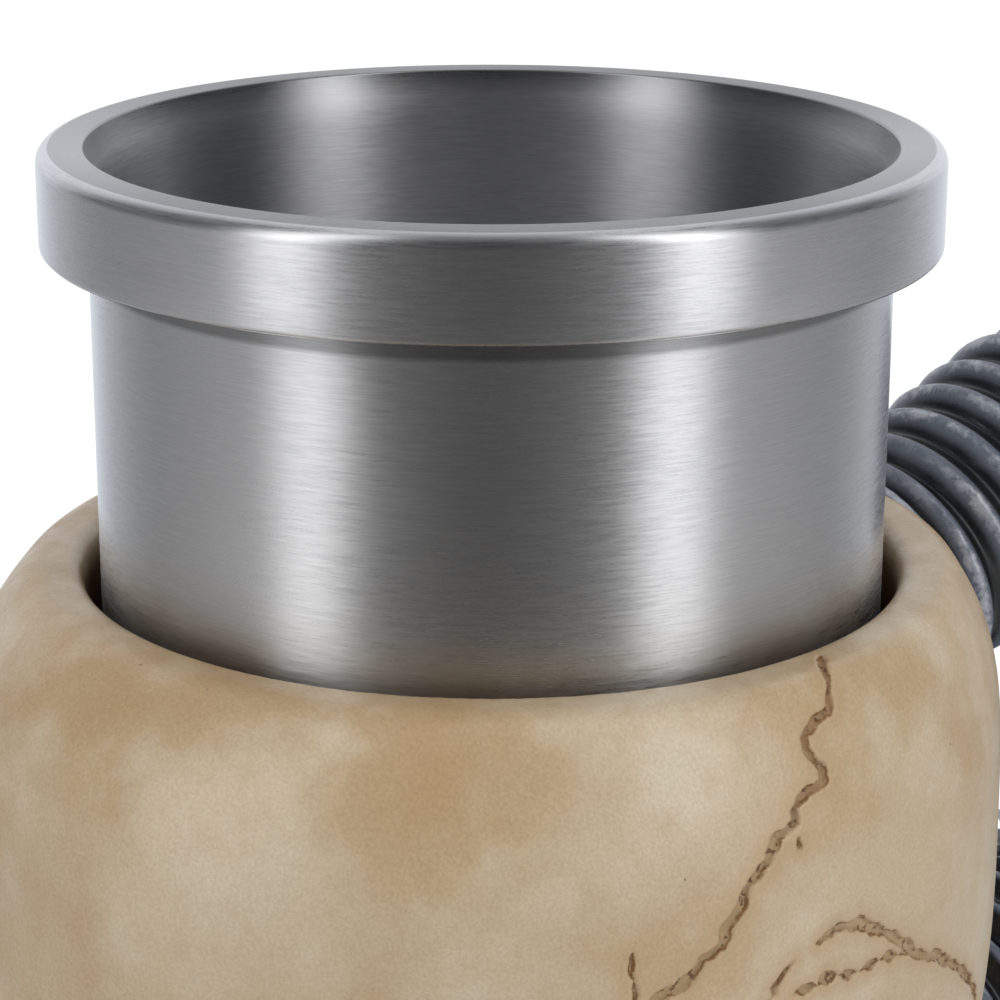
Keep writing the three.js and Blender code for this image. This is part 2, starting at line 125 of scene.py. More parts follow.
class CupSettings(bpy.types.PropertyGroup):
    """Sizes and colour of the steel cup."""

    radius: size_of("Wall radius", "Outer radius of the drawn wall", 39.3)
    sheet: size_of("Sheet", "Thickness of the steel", 0.8)
    heel: size_of("Heel radius", "Rounding between the wall and the floor", 7.0)
    band: size_of("Band height", "Height of the folded mouth band", 9.7)
    outer_round: size_of("Outer rounding", "Rounding outside the mouth", 1.4)
    inner_round: size_of("Inner rounding", "Rounding inside the mouth", 0.3)
    mouth: size_of("Mouth flare", "How far the mouth opens inside the band", 0.9)
    steel: colour_of("Steel", "Colour of the brushed steel", (208, 208, 210))


class HoseSettings(bpy.types.PropertyGroup):
    """Sizes and colours of the hose handle."""

    radius: size_of("Crest radius", "Radius over the ribs", 15.0)
    rib: size_of("Rib height", "Height of a rib over the groove", 1.8)
    pitch: size_of("Rib pitch", "Distance from rib to rib", 5.7)
    black: colour_of("Black", "Colour of the handle", (18, 20, 23))
    # The silver rub is partly real dry-brushing and partly a painted highlight on the crests.
    silver: colour_of("Silver rub", "Colour rubbed on the crests", (190, 194, 200))


class StageSettings(bpy.types.PropertyGroup):
    """Viewpoint and light."""

    bearing: angle_of("Bearing", "Direction of the camera round the mug", 47.834)
    standpoint: angle_of("Standpoint", "Where the camera stands round the mug", 48.0)
    tilt: angle_of("Tilt", "How far the camera looks down", 17.461)
    roll: angle_of("Roll", "Turn of the camera about its view", 0.103)
    distance: size_of("Distance", "From the cup axis to the camera", 294.29)
    height: size_of("Height", "Height of the camera", 205.59)
    lens: number_of("Lens", "Focal length in millimetres", 110.218)
    ambient: number_of("Ambient", "Strength of the even light", 0.70)
    overhead: number_of("Overhead", "Power of the overhead light in watts", 4.0)
    right: number_of("Right light", "Power of the right light in watts", 1.9)
    left: number_of("Left light", "Power of the left light in watts", 0.8)


# Bones of the face on the left half, mirrored to the right. A place is out from the
# middle, back from the forehead and up from the table, in millimetres.
LUMPS = (
    ("upper jaw", (0, 15, 24), (25, 16, 20)),
    ("tooth ridge", (0, 22, 14), (25, 23, 9)),
    ("ear base", (36, 72, 17), (9, 11, 15)),
    ("back of the head", (0, 95, 60), (26, 20, 22)),
    ("cheek", (35, 11.5, 36), (11, 10, 8)),
)
STRUTS = (
    ("inner brow", (8, 2.5, 65), (26, 4, 68.5), 5.5, 5),
    ("outer brow", (26, 4, 68.5), (40, 15, 59), 5, 4.5),
    ("temple rim", (40, 15, 59), (40.5, 15.5, 42), 4.5, 5),
    ("lower rim", (35, 10, 37), (14, 3, 36), 4.5, 4.5),
    ("side of the nose", (13, 3, 36), (6, 1, 58), 5, 4),
    ("nose bridge", (0, 2, 62), (0, -4.5, 47), 5, 4),
    ("front cheek arch", (42, 19, 36.5), (49.5, 38, 37), 5, 4),
    ("rear cheek arch", (49.5, 38, 37), (50, 60, 40), 4, 4),
)
HOLLOWS = (
    ("temple", (57, 27, 53), (14, 18, 17), 8),
    ("under the cheek arch", (46, 38, 18), (17, 17, 15), 6),
    ("beside the nose", (20, -7, 27), (8, 8, 9), 6),
    ("foot of the nose", (3, -2.75, 31), (6, 11, 6), 1.6),
    ("top of the nose", (0, -2.75, 36), (4.8, 11, 11), 1.6),
    ("ear hole", (51, 63, 35), (7, 2.6, 3.2), 1.5),
    ("rim notch", (18, -1, 62.6), (1.2, 4, 1.5), 1.0),
    ("cheek hole", (22, 2, 31.5), (1.3, 4, 1.3), 0.8),
)
SEPTUM = ((0, 7.5, 33), (0.8, 5, 9))
EYE = ((22.5, 0, 50.5), (14.5, 14.4, 12.5), 9.0, 2.6)

# Seams between the bones: bearing from the face toward the left side in degrees and
# height in millimetres, going on inward over the lip, with the half width of the groove
# at both ends and the length of the beads that a broken seam is made of
SEAMS = (
    ("crown seam", 0.34, 0.56, 0, (
        (91.7, 110.4), (89.2, 108.2), (88.5, 106.9), (88, 105.8), (87.4, 105), (85.8, 104.6),
        (84, 103.9), (82.8, 103.3), (83, 102.3), (84, 101.1), (84.6, 100.2), (84.5, 99.4), (83.6, 98.9),
        (82.1, 98.7), (81, 98.4), (80.2, 97.5), (80.3, 96.5), (79.1, 96), (77.7, 95.4),
        (77.2, 94.5), (76.3, 93.4), (75.1, 92.5), (73.9, 91.5), (73.4, 90.2), (72.6, 89.1),
        (71.6, 88.1), (71.2, 86.7), (70.3, 86), (68.9, 85.7), (68.2, 84.5), (66.9, 83.6),
        (64.4, 82.8), (62.4, 80.6), (62, 78.4), (59.6, 76.2), (58.4, 73), (56.8, 70.6),
        (55.4, 67),
    )),
    ("temple seam", 0.52, 0.42, 0, (
        (82.9, 84.2), (84.7, 84.9), (86.5, 85), (88.8, 84.7), (90.4, 83.9), (91.8, 83.2),
        (94.2, 81.9), (96.6, 80.3), (98.7, 78.7), (100.9, 77.5), (103.2, 76.9), (105.8, 75.4),
        (109.8, 73.1), (114, 70.2), (117.2, 67.4), (119.6, 63.6), (121.5, 60), (123, 54),
        (125.5, 48.5),
    )),
    ("lower temple seam", 0.46, 0.40, 2.9, (
        (79.8, 79.9), (80.9, 80), (82.1, 80.2), (83.5, 80.1), (84.2, 80.5), (85.6, 80.4),
        (86.9, 80), (88.5, 79.8), (90.2, 79.8), (91.8, 80), (93.5, 79.9), (95.8, 79.5),
        (98.2, 78.9),
    )),
    ("temple crack", 0.10, 0.40, 0, (
        (80.1, 83.4), (79.3, 82.8), (78.5, 82.2), (77.7, 81.4), (77.5, 80.5), (77.2, 80.1),
    )),
    ("small pit", 0.34, 0.3, 0, ((80.4, 95), (80.6, 94.2), (80.8, 93.6))),
    ("brow crack", 0.24, 0.16, 0, ((61.9, 81.2), (61.9, 83.4), (61.6, 85.7), (61.5, 87.6))),
    ("front temple seam", 0.42, 0.34, 0, (
        (77.2, 80.1), (74, 77.6), (72.4, 74), (70, 71), (68.6, 66.4), (66.2, 62.5),
    )),
    ("rear seam", 0.34, 0.5, 0, (
        (157, 107.6), (156.4, 105.4), (157, 103), (154.2, 100.6), (154.8, 97.6),
        (151.6, 95), (152, 91.6), (149.4, 88.6), (149.6, 85), (146.4, 82), (146, 78.4),
        (142.8, 75), (141.6, 70.8), (137.6, 67.4), (135.4, 62.6), (131.2, 58.4),
        (129.4, 52.6), (125.5, 48.5),
    )),
    ("cheek seam", 0.3, 0.24, 0, ((63.5, 41.6), (65.2, 39), (64.6, 36.6), (66.8, 33.4))),
)

# Soft areas of wash on the left half, mirrored to the right, the first of them a pale
# painted sheen on the side of the crown: place from the cup axis and reach in millimetres,
# colour and strength
WASHES = (
    # Painted sheen: a pale patch that stands in for a soft highlight on the side of the crown.
    ("painted sheen on the side", (45, -19, 103), 15, "pale", 0.8),
    ("rubbed brow", (22, -49, 97), 14, "pale", 0.7),
    ("crown wash", (33, -38, 103), 13, "ochre", 0.55),
    ("lip wash", (10, -48, 106), 12, "ochre", 0.5),
    ("seam wash", (49, -18, 86), 10, "ochre", 0.5),
    ("eye socket", (23.5, -47, 51), 17, "umber", 1.0),
    ("nose", (0, -50, 34), 11, "umber", 0.85),
)


# Brain case below its shoulder, block of the base, pocket of the cup and the blend of the
# bones, in millimetres
SHOULDER_DROP, LOWER_RISE = 26.0, 84.0
BLOCK_HALF, BLOCK_LENGTH, BLOCK_TOP = 31.5, 38.5, 14.0
POCKET_FLOOR, POCKET_HEEL = 34.0, 9.0
BONE_BLEND = 7.0


def join(a, b, blend):
    """Smooth lesser of two distances: the lesser, less a parabola where they are close."""
    near = np.maximum(blend - np.abs(a - b), 0) / blend
    return np.minimum(a, b) - near * near * blend / 4


def carve(body, hollow, blend):
    """Body with a hollow taken out, the edge rounded over the blend."""
    return -join(-body, hollow, blend)


def meet(a, b, blend):
    """Smooth greater of two distances: what lies inside both."""
    return -join(-a, -b, blend)


def lump(points, centre, radii):
    """Distance to a stretched ball: n (n - 1) / k, with n the scaled distance from the
    centre and k the length of its slope."""
    scaled = (points - np.array(centre, float)) / np.array(radii, float)
    near = np.linalg.norm(scaled, axis=-1)
    slope = np.linalg.norm(scaled / np.array(radii, float), axis=-1)
    return near * (near - 1) / np.maximum(slope, 1e-9)


def strut(points, start, end, start_radius, end_radius):
    """Distance to a rod with round ends whose radius runs evenly from end to end."""
    start = np.array(start, float)
    run = np.array(end, float) - start
    reach = points - start
    share = np.clip(reach @ run / (run @ run), 0, 1)
    off = np.linalg.norm(reach - share[..., None] * run, axis=-1)
    return off - (start_radius + (end_radius - start_radius) * share)


def turned(points, centre, degrees):
    """Points seen from a frame at the centre that is turned about the Y axis."""
    c, s = math.cos(math.radians(degrees)), math.sin(math.radians(degrees))
    q = points - np.array(centre, float)
    return np.stack([c * q[..., 0] - s * q[..., 2], q[..., 1], s * q[..., 0] + c * q[..., 2]], -1)


# Path of the handle in the plane X = 0: start, then straight and evenly bent pieces as
# length and turn, and the collars at its two ends
HOSE_START = (52.0, LIP - 18.9)
HOSE_HEADING = 14.0
COLLAR_RADIUS, COLLAR_BORE, COLLAR_LENGTH, COLLAR_SEAT = 15.4, 13.1, 7.0, 3.5
BOSS_RADIUS = 17.6
LOWER_SEAT = 50.0


def hose_pieces():
    """Pieces of the path as length and turn; the last one runs straight to the lower seat."""
    bend = lambda radius, first, last: (
        radius * abs(math.radians(last - first)), math.radians(last - first)
    )
    # Upper root, rise, top run, outer bend, grip and lower bend
    pieces = [
        (COLLAR_LENGTH + 0.3, 0.0), bend(60, 14, 20), (24.5, 0.0), bend(20, 20, -97),
        (28.0, 0.0), bend(24, -97, -172),
    ]
    reached, heading = hose_walk(np.array([1e6]), pieces)
    pieces.append(((reached[0, 0] - LOWER_SEAT) / -math.cos(heading[0]), 0.0))
    return pieces


def hose_walk(distance, pieces):
    """Places and headings at distances along the path. Over each piece the place moves by
    the chord of the arc, in the direction of the mean of its two headings."""
    place = np.tile(np.array(HOSE_START), (len(distance), 1))
    heading = np.full(len(distance), math.radians(HOSE_HEADING))
    left = distance.astype(float)
    for length, turn in pieces:
        step = np.clip(left, 0, length)
        swing = turn * step / length
        chord = step * np.sinc(swing / 2 / math.pi)
        place[:, 0] += chord * np.cos(heading + swing / 2)
        place[:, 1] += chord * np.sin(heading + swing / 2)
        heading = heading + swing
        left = left - step
    return place, heading


HOSE_PIECES = hose_pieces()
HOSE_LENGTH = sum(length for length, _ in HOSE_PIECES)


def hose_seats():
    """Place and outward direction of the hose at both of its seats on the skull."""
    place, heading = hose_walk(np.array([0.0, HOSE_LENGTH]), HOSE_PIECES)
    heading = heading + np.array([0.0, math.pi])
    return [(place[i], np.array([math.cos(heading[i]), math.sin(heading[i])])) for i in range(2)]


SEATS = hose_seats()


def brain_case(points, skull):
    """Egg of the brain case: the power mean of the distance across and the height from the
    widest level, less one. Above that level the shoulder comes in to the round lip."""
    x, y, z = points[..., 0], points[..., 1], points[..., 2]
    side, drop = skull["side"], SHOULDER_DROP
    crown = LIP - drop
    across = np.hypot(x / side, y / np.where(y < 0, skull["front"], skull["rear"]))
    widest = np.where(across > 1e-6, np.hypot(x, y) / np.maximum(across, 1e-9), side)
    above = z > crown
    power = np.where(above, 3.0, 2.4)
    shoulder = drop / (1 - (skull["lip"] / widest) ** 3) ** (1 / 3)
    rise = np.abs(z - crown) / np.where(above, shoulder, LOWER_RISE)
    return ((across ** power + rise ** power) ** (1 / power) - 1) * side


def pocket(points, skull):
    """Round pocket for the cup: a guide that flares toward the lip, with a rounded heel."""
    x, y, z = points[..., 0], points[..., 1], points[..., 2]
    wide = skull["guide"] + skull["flare"] * np.clip((z - LIP + 9) / 9, 0, 1.4)
    return meet(np.hypot(x, y) - wide, POCKET_FLOOR - z, POCKET_HEEL)


def skull_field(points, skull):
    """Distance to the cast skull, negative inside: the brain case, the base, the bones of
    the face and the bosses of the hose joined smoothly, with the hollows, the pocket and
    the two collar sockets carved out and a faint unevenness of the casting."""
    p = points.copy()
    p[..., 0] = np.abs(p[..., 0])
    x, y, z = p[..., 0], p[..., 1], p[..., 2]
    back = lambda place: (place[0], place[1] - skull["front"], place[2])
    across = np.hypot(x / BLOCK_HALF, y / BLOCK_LENGTH) - 1
    block = np.maximum(across * BLOCK_HALF, z - BLOCK_TOP)
    body = join(brain_case(p, skull), block, BONE_BLEND)
    for _, centre, radii in LUMPS:
        body = join(body, lump(p, back(centre), radii), BONE_BLEND)
    for _, start, end, first, last in STRUTS:
        body = join(body, strut(p, back(start), back(end), first, last), BONE_BLEND)
    cap = math.sqrt(BOSS_RADIUS ** 2 - COLLAR_RADIUS ** 2)
    for place, out in SEATS:
        first = place - out * BOSS_RADIUS
        last = place + out * (COLLAR_SEAT - cap)
        boss = strut(p, (0, *first), (0, *last), BOSS_RADIUS, BOSS_RADIUS)
        body = join(body, boss, BONE_BLEND)
    for spot, _ in tooth_spots(skull["front"]):
        root = (spot[0] * 0.97, spot[1] * 0.985, 19.5)
        body = join(body, strut(p, (*spot, 11), root, 2.9, 1.7), 2.5)
    wave = np.sin(points[..., 0] / 6.1 + 1.3) * np.sin(y / 7.3 + 0.4) * np.sin(z / 5.7 + 2.1)
    wave = wave + 0.6 * np.sin(points[..., 0] / 2.9 + y / 4.1) * np.sin(z / 3.3 - y / 5.9)
    body = body + 0.10 * wave
    centre, radii, tilt, blend = EYE
    body = carve(body, lump(turned(p, back(centre), tilt), (0, 0, 0), radii), blend)
    for _, centre, radii, blend in HOLLOWS:
        body = carve(body, lump(p, back(centre), radii), blend)
    body = join(body, lump(p, back(SEPTUM[0]), SEPTUM[1]), 1.2)
    body = meet(body, z - LIP, 1.2)
    body = meet(body, PAD_HIGH[2] - z, 1.0)
    body = carve(body, pocket(p, skull), 1.6)
    for place, out in SEATS:
        along = (y - place[0]) * out[0] + (z - place[1]) * out[1]
        aside = -(y - place[0]) * out[1] + (z - place[1]) * out[0]
        socket = np.maximum(np.hypot(x, aside) - COLLAR_RADIUS - 0.3, -0.3 - along)
        body = carve(body, socket, 0.8)
    return body


# Upper teeth from the middle outward, and the arch that they stand on
TOOTH_WIDTHS = (6.3, 5, 5.6, 5.2, 5, 7.2, 7)
TOOTH_HEIGHT, TOOTH_DEPTH, TOOTH_FOOT = 9.0, 5.6, 3.4
ARCH_HALF, ARCH_LENGTH, ARCH_SETBACK = 21.5, 25.5, 26.5


def tooth_spots(front):
    """Middle of each tooth of the left half round the arch, an ellipse set back from the
    forehead, and the direction that it faces, stepping by half the width of each tooth."""
    half, length = ARCH_HALF, ARCH_LENGTH
    pace = lambda a: math.hypot(half * math.cos(a), length * math.sin(a))
    spots, angle = [], 0.0
    for width in TOOTH_WIDTHS:
        angle += width / 2 / pace(angle)
        middle = ARCH_SETBACK - front - length * math.cos(angle)
        facing = math.atan2(math.sin(angle) / half, math.cos(angle) / length)
        spots.append(((half * math.sin(angle), middle), facing))
        angle += width / 2 / pace(angle)
    return spots


def slope_of(field, points):
    """Slope of a field by central differences."""
    step = 0.04
    return np.stack([
        field(points + step * axis) - field(points - step * axis) for axis in np.eye(3)
    ], -1) / (2 * step)


def settle(field, points, rounds):
    """Points moved along the slope onto the zero surface of a field."""
    for _ in range(rounds):
        slope = slope_of(field, points)
        square = np.maximum((slope * slope).sum(-1), 0.05)
        move = field(points) / square
        points = points - np.clip(move, -0.8, 0.8)[:, None] * slope
    return points


def lattice_net(field, low, high, step):
    """Closed net of quads over the zero surface of a field: a point in each lattice cell
    that the surface crosses, at the mean of its edge crossings, and a quad round each
    lattice edge that it crosses."""
    axes = [np.arange(a, b + step, step) for a, b in zip(low, high)]
    grid = np.stack(np.meshgrid(*axes, indexing="ij"), -1)
    value = np.concatenate([field(slab) for slab in grid])
    value = value.reshape(grid.shape[:3])
    inside = value < 0
    cells = tuple(n - 1 for n in value.shape)
    total, count, edges = np.zeros((*cells, 3)), np.zeros(cells), []
    for axis in range(3):
        first = [slice(None)] * 3
        last = [slice(None)] * 3
        first[axis], last[axis] = slice(None, -1), slice(1, None)
        first, last = tuple(first), tuple(last)
        crossed = inside[first] != inside[last]
        share = value[first] / np.where(crossed, value[first] - value[last], 1)
        point = grid[first] + (share * step)[..., None] * np.eye(3)[axis]
        edges.append((crossed, inside[first]))
        b, c = (axis + 1) % 3, (axis + 2) % 3
        for shift in ((0, 0), (0, 1), (1, 0), (1, 1)):
            part = [slice(None)] * 3
            part[b] = slice(shift[0], shift[0] + cells[b])
            part[c] = slice(shift[1], shift[1] + cells[c])
            hit = crossed[tuple(part)]
            total += np.where(hit[..., None], point[tuple(part)], 0)
            count += hit
    used = count > 0
    number = np.full(cells, -1)
    number[used] = np.arange(used.sum())
    quads = []
    for axis, (crossed, outward) in enumerate(edges):
        b, c = (axis + 1) % 3, (axis + 2) % 3
        place = np.argwhere(crossed)
        corner = []
        for shift in ((1, 1), (0, 1), (0, 0), (1, 0)):
            cell = place.copy()
            cell[:, b] -= shift[0]
            cell[:, c] -= shift[1]
            corner.append(number[tuple(cell.T)])
        quad = np.stack(corner, -1)
        plain = outward[tuple(place.T)]
        quads.append(np.where(plain[:, None], quad, quad[:, ::-1]))
    return total[used] / count[used][:, None], np.concatenate(quads)


def linked(name, data):
    """Object for a mesh, lamp or camera, linked to the scene."""
    made = bpy.data.objects.new(name, data)
    bpy.context.scene.collection.objects.link(made)
    return made


def mesh_object(name, points, faces, smooth=True):
    """Object at the origin from points in millimetres and lists of corners."""
    mesh = bpy.data.meshes.new(name)
    mesh.from_pydata((np.asarray(points) * MM).tolist(), [], faces)
    mesh.polygons.foreach_set("use_smooth", np.full(len(mesh.polygons), smooth))
    mesh.validate()
    mesh.update()
    return linked(name, mesh)


def coordinates(mesh):
    """Points of a mesh in millimetres as one array."""
    flat = np.zeros(len(mesh.vertices) * 3)
    mesh.vertices.foreach_get("co", flat)
    return flat.reshape(-1, 3) / MM


def store(mesh, name, values):
    """Number kept at each point of a mesh for its material."""
    layer = mesh.attributes.new(name, "FLOAT", "POINT")
    layer.data.foreach_set("value", np.ascontiguousarray(values, np.float32))


def grid_faces(rows, columns, wrap_rows=False, wrap_columns=True):
    """Quads of a grid of points, joined round where a direction closes on itself."""
    r = np.arange(rows if wrap_rows else rows - 1)
    c = np.arange(columns if wrap_columns else columns - 1)
    row, column = (a.ravel() for a in np.meshgrid(r, c, indexing="ij"))
    below, beside = (row + 1) % rows, (column + 1) % columns
    return np.stack([
        row * columns + column, row * columns + beside,
        below * columns + beside, below * columns + column,
    ], -1)


def arc(centre, radius, first, last, steps):
    """Points of an arc in a profile of radius and height, angles in degrees."""
    angle = np.radians(np.linspace(first, last, steps + 1))
    return np.stack([centre[0] + radius * np.cos(angle), centre[1] + radius * np.sin(angle)], -1)


def spaced(profile, step):
    """Profile with extra points so that none are further apart than a step."""
    profile = np.asarray(profile, float)
    length = np.linalg.norm(np.diff(profile, axis=0), axis=1)
    counts = np.maximum(np.ceil(length / step).astype(int), 1)
    parts = [
        a + (b - a) * (np.arange(n) / n)[:, None]
        for a, b, n in zip(profile[:-1], profile[1:], counts)
    ]
    return np.concatenate(parts + [profile[-1:]])


def millimetres(group):
    """Lengths of a property group in millimetres, by name."""
    names = [p.identifier for p in group.bl_rna.properties if p.type == "FLOAT"]
    return {n: getattr(group, n) / MM for n in names if isinstance(getattr(group, n), float)}


class Nodes:
    """Short way to add and join the nodes of one material or world."""

    def __init__(self, owner):
        owner.use_nodes = True
        self.owner = owner
        self.tree = owner.node_tree
        self.tree.nodes.clear()

    def add(self, kind, inputs=None, **settings):
        node = self.tree.nodes.new(kind)
        for key, value in settings.items():
            setattr(node, key, value)
        for key, value in (inputs or {}).items():
            self.put(node.inputs[key], value)
        return node

    def put(self, socket, value):
        if isinstance(value, bpy.types.NodeSocket):
            self.tree.links.new(value, socket)
        elif socket.type == "RGBA" and len(value) == 3:
            socket.default_value = (*value, 1)
        else:
            socket.default_value = value

    def place(self):
        return self.add("ShaderNodeTexCoord").outputs["Object"]

    def attribute(self, name):
        return self.add("ShaderNodeAttribute", attribute_name=name).outputs["Fac"]

    def parts(self, vector):
        return self.add("ShaderNodeSeparateXYZ", {"Vector": vector}).outputs

    def joined(self, x, y, z):
        return self.add("ShaderNodeCombineXYZ", {"X": x, "Y": y, "Z": z}).outputs[0]

    def vector(self, operation, a, b=(0, 0, 0)):
        return self.add("ShaderNodeVectorMath", {0: a, 1: b}, operation=operation).outputs

    def noise(self, vector, size, detail=3.0, rough=0.55):
        return self.add("ShaderNodeTexNoise", {
            "Vector": vector, "Scale": 1 / (size * MM), "Detail": detail, "Roughness": rough,
        }).outputs["Fac"]

    def math(self, operation, a, b=0.0):
        return self.add("ShaderNodeMath", {0: a, 1: b}, operation=operation).outputs[0]

    def plus(self, a, b):
        return self.math("ADD", a, b)

    def minus(self, a, b):
        return self.math("SUBTRACT", a, b)

    def times(self, a, b):
        return self.math("MULTIPLY", a, b)

    def band(self, value, low, high, start=0.0, end=1.0):
        return self.add("ShaderNodeMapRange", {
            "Value": value, "From Min": low, "From Max": high, "To Min": start, "To Max": end,
        }, interpolation_type="SMOOTHSTEP").outputs["Result"]

    def mix(self, share, first, second, blend="MIX"):
        inputs = {0: share, 6: first, 7: second}
        return self.add("ShaderNodeMix", inputs, data_type="RGBA", blend_type=blend).outputs[2]

    def coated(self, colour, coats):
        """Colour under coats of share and colour, laid on one after another."""
        for share, coat in coats:
            colour = self.mix(share, colour, coat)
        return colour

    def bump(self, height, distance, strength=1.0, normal=None):
        inputs = {"Height": height, "Distance": distance * MM, "Strength": strength}
        if normal is not None:
            inputs["Normal"] = normal
        return self.add("ShaderNodeBump", inputs).outputs["Normal"]

    def finish(self, **inputs):
        shader = self.add("ShaderNodeBsdfPrincipled")
        for key, value in inputs.items():
            self.put(shader.inputs[key.replace("_", " ")], value)
        self.add("ShaderNodeOutputMaterial", {"Surface": shader.outputs[0]})
        return self.owner


def bone_finish(skull, name, teeth=False):
    """Washed bone: ochre clouds over pale bone, umber in the seams and hollows, pale rubbed
    edges, dark specks, fine scratches and the soft dimples of a sprayed casting, with a pale
    painted sheen on the side of the crown and umber painted shade down inside the pocket."""
    n = Nodes(bpy.data.materials.new(name))
    place = n.place()
    seam, cavity, worn = (n.attribute(key) for key in ("seam", "cavity", "worn"))
    x, y, height = n.parts(place)
    cloud = n.noise(place, 26)
    patch = n.noise(place, 9)
    mottle = n.noise(place, 2.8, 4.0, 0.6)
    grain = n.noise(place, 0.34, 3.0, 0.65)
    half = n.joined(n.math("ABSOLUTE", x), y, height)
    drift = n.times(n.minus(patch, 0.5), 22 * MM)
    coats = [
        (n.band(cloud, 0.40, 0.66, 0, 0.8), skull.ochre),
        (n.band(patch, 0.44, 0.78, 0, 0.5), skull.pale),
    ]
    # Each entry of the table is laid on as a soft spot; the first is a painted sheen, the rest are
    # washes.
    for _, spot, reach, wash, share in WASHES:
        gap = n.vector("DISTANCE", half, tuple(v * MM for v in spot))["Value"]
        near = n.band(n.plus(gap, drift), reach * MM, 0.1 * reach * MM, 0, share)
        coats.append((near, getattr(skull, wash)))
    coats += [
        (n.times(n.band(height, 0.088, 0.107, 0, 0.6), n.band(patch, 0.65, 0.35)), skull.ochre),
        (n.band(mottle, 0.5, 0.8, 0, 0.2), skull.ochre),
        (n.band(mottle, 0.46, 0.2, 0, 0.15), skull.pale),
    ]
    shade = n.mix(n.band(grain, 0.25, 0.75), (0.88, 0.865, 0.84), (1.05, 1.05, 1.05))
    colour = n.mix(1.0, n.coated(skull.bone, coats), shade, "MULTIPLY")
    ragged = n.plus(seam, n.times(n.minus(mottle, 0.5), 1.6))
    halo = n.times(n.band(ragged, 2.2, 0.0, 0, 0.6), n.band(patch, 0.3, 0.6, 0.5, 1))
    rough = n.plus(seam, n.times(n.minus(n.noise(place, 1.2, 3.0, 0.7), 0.5), 0.62))
    inside = n.band(rough, 0.1, -0.1)
    floor = n.coated(skull.floor, [
        (n.band(height, 0.094, 0.100), skull.sepia),
        (n.band(mottle, 0.35, 0.65, 0, 0.6), skull.ochre),
    ])
    edge = n.band(n.math("ABSOLUTE", n.plus(rough, 0.02)), 0.13, 0.02)
    broken = n.band(n.noise(place, 1.9, 2.0, 0.6), 0.36, 0.58, 0.2, 1)
    pit = n.times(n.band(rough, 0.02, -0.14), n.band(n.noise(place, 1.0, 2.0, 0.6), 0.54, 0.64))
    # Umber wash in the hollows, and inside the pocket an umber painted shade that deepens below the
    # lip.
    wash_and_pocket_shade = n.times(n.band(cavity, 0.12, 0.75), n.band(patch, 0.2, 0.7, 0.7, 1.1))
    rub = n.times(n.band(worn, 0.2, 0.5), n.band(n.noise(place, 2.6, 3.0, 0.7), 0.5, 0.6))
    cells = n.add("ShaderNodeTexVoronoi", {"Vector": place, "Scale": 1 / (4.4 * MM)}).outputs
    chosen = n.add("ShaderNodeSeparateColor", {"Color": cells["Color"]}).outputs[0]
    speck = n.times(n.band(cells["Distance"], 0.036, 0.02), n.band(chosen, 0.62, 0.63))
    curve = n.math("ABSOLUTE", n.minus(n.noise(place, 24, 0.0, 0.4), 0.5))
    scratch = n.times(n.band(curve, 0.0022, 0.0008), n.band(n.noise(place, 12, 2.0), 0.58, 0.66))
    coats = [
        (halo, skull.ochre),
        (n.times(inside, 0.6), floor),
        (n.times(edge, broken), skull.sepia),
        (n.times(pit, 0.85), skull.umber),
        (n.math("MINIMUM", n.times(wash_and_pocket_shade, 0.9), 1.0), skull.umber),
        (n.times(rub, 0.75), (0.70, 0.63, 0.52)),
        (n.times(speck, 0.75), skull.umber),
        (n.times(scratch, 0.22), (0.76, 0.70, 0.60)),
    ]
    if teeth:
        root = n.times(n.attribute("root"), n.band(patch, 0.2, 0.7, 0.6, 1))
        coats += [(0.5, skull.pale), (root, skull.umber)]
    normal = n.bump(n.noise(place, 4.2, 2.0, 0.5), 0.4, 0.25)
    normal = n.bump(n.noise(place, 0.42, 2.0, 0.6), 0.08, 0.6, normal)
    normal = n.bump(n.minus(n.times(speck, -1.0), scratch), 0.08, 0.6, normal)
    gloss = n.plus(n.band(mottle, 0.3, 0.7, 0.28, 0.4), n.times(inside, 0.2))
    return n.finish(Base_Color=n.coated(colour, coats), Roughness=gloss, Normal=normal)


def steel_finish(name, steel, brushed):
    """Brushed steel: short fine dashes round the axis in colour, gloss and relief; on the cup, a
    painted shadow darkens the wall just under the band.
    """
    n = Nodes(bpy.data.materials.new(name))
    place = n.place()
    x, y, along = n.parts(place)
    if brushed:
        along = n.parts(n.add("ShaderNodeUVMap", uv_map="UVMap").outputs["UV"])["Y"]
    lines = n.joined(x, y, n.times(along, 24.0))
    dash = n.noise(lines, 4.2, 2.0, 0.6)
    fine = n.noise(lines, 2.2, 2.0, 0.6)
    cloud = n.noise(place, 30, 2.0, 0.5)
    level = n.plus(n.times(dash, 0.6), n.times(fine, 0.4))
    dull, bright = (tuple(c * share for c in steel) for share in (0.84, 1.07))
    colour = n.mix(n.band(level, 0.3, 0.7), dull, bright)
    gloss = n.plus(n.band(level, 0.3, 0.7, 0.25, 0.33), n.band(cloud, 0.3, 0.7, -0.02, 0.03))
    normal = n.bump(level, 0.016, 0.35)
    inputs = {}
    if brushed:
        tangent = n.add("ShaderNodeTangent", direction_type="UV_MAP", uv_map="UVMap")
        inputs = {"Tangent": tangent.outputs[0], "Anisotropic": 0.95, "Anisotropic_Rotation": 0.25}
        gloss = n.plus(gloss, n.times(n.attribute("inside"), 0.12))
        # Painted shadow: the outer wall just under the band is darkened to half, standing in for the
        # shade of the band's overhang.
        shaded = n.mix(1.0, colour, (0.5, 0.5, 0.5), "MULTIPLY")
        colour = n.mix(n.attribute("shade"), colour, shaded)
    return n.finish(Base_Color=colour, Metallic=1.0, Roughness=gloss, Normal=normal, **inputs)


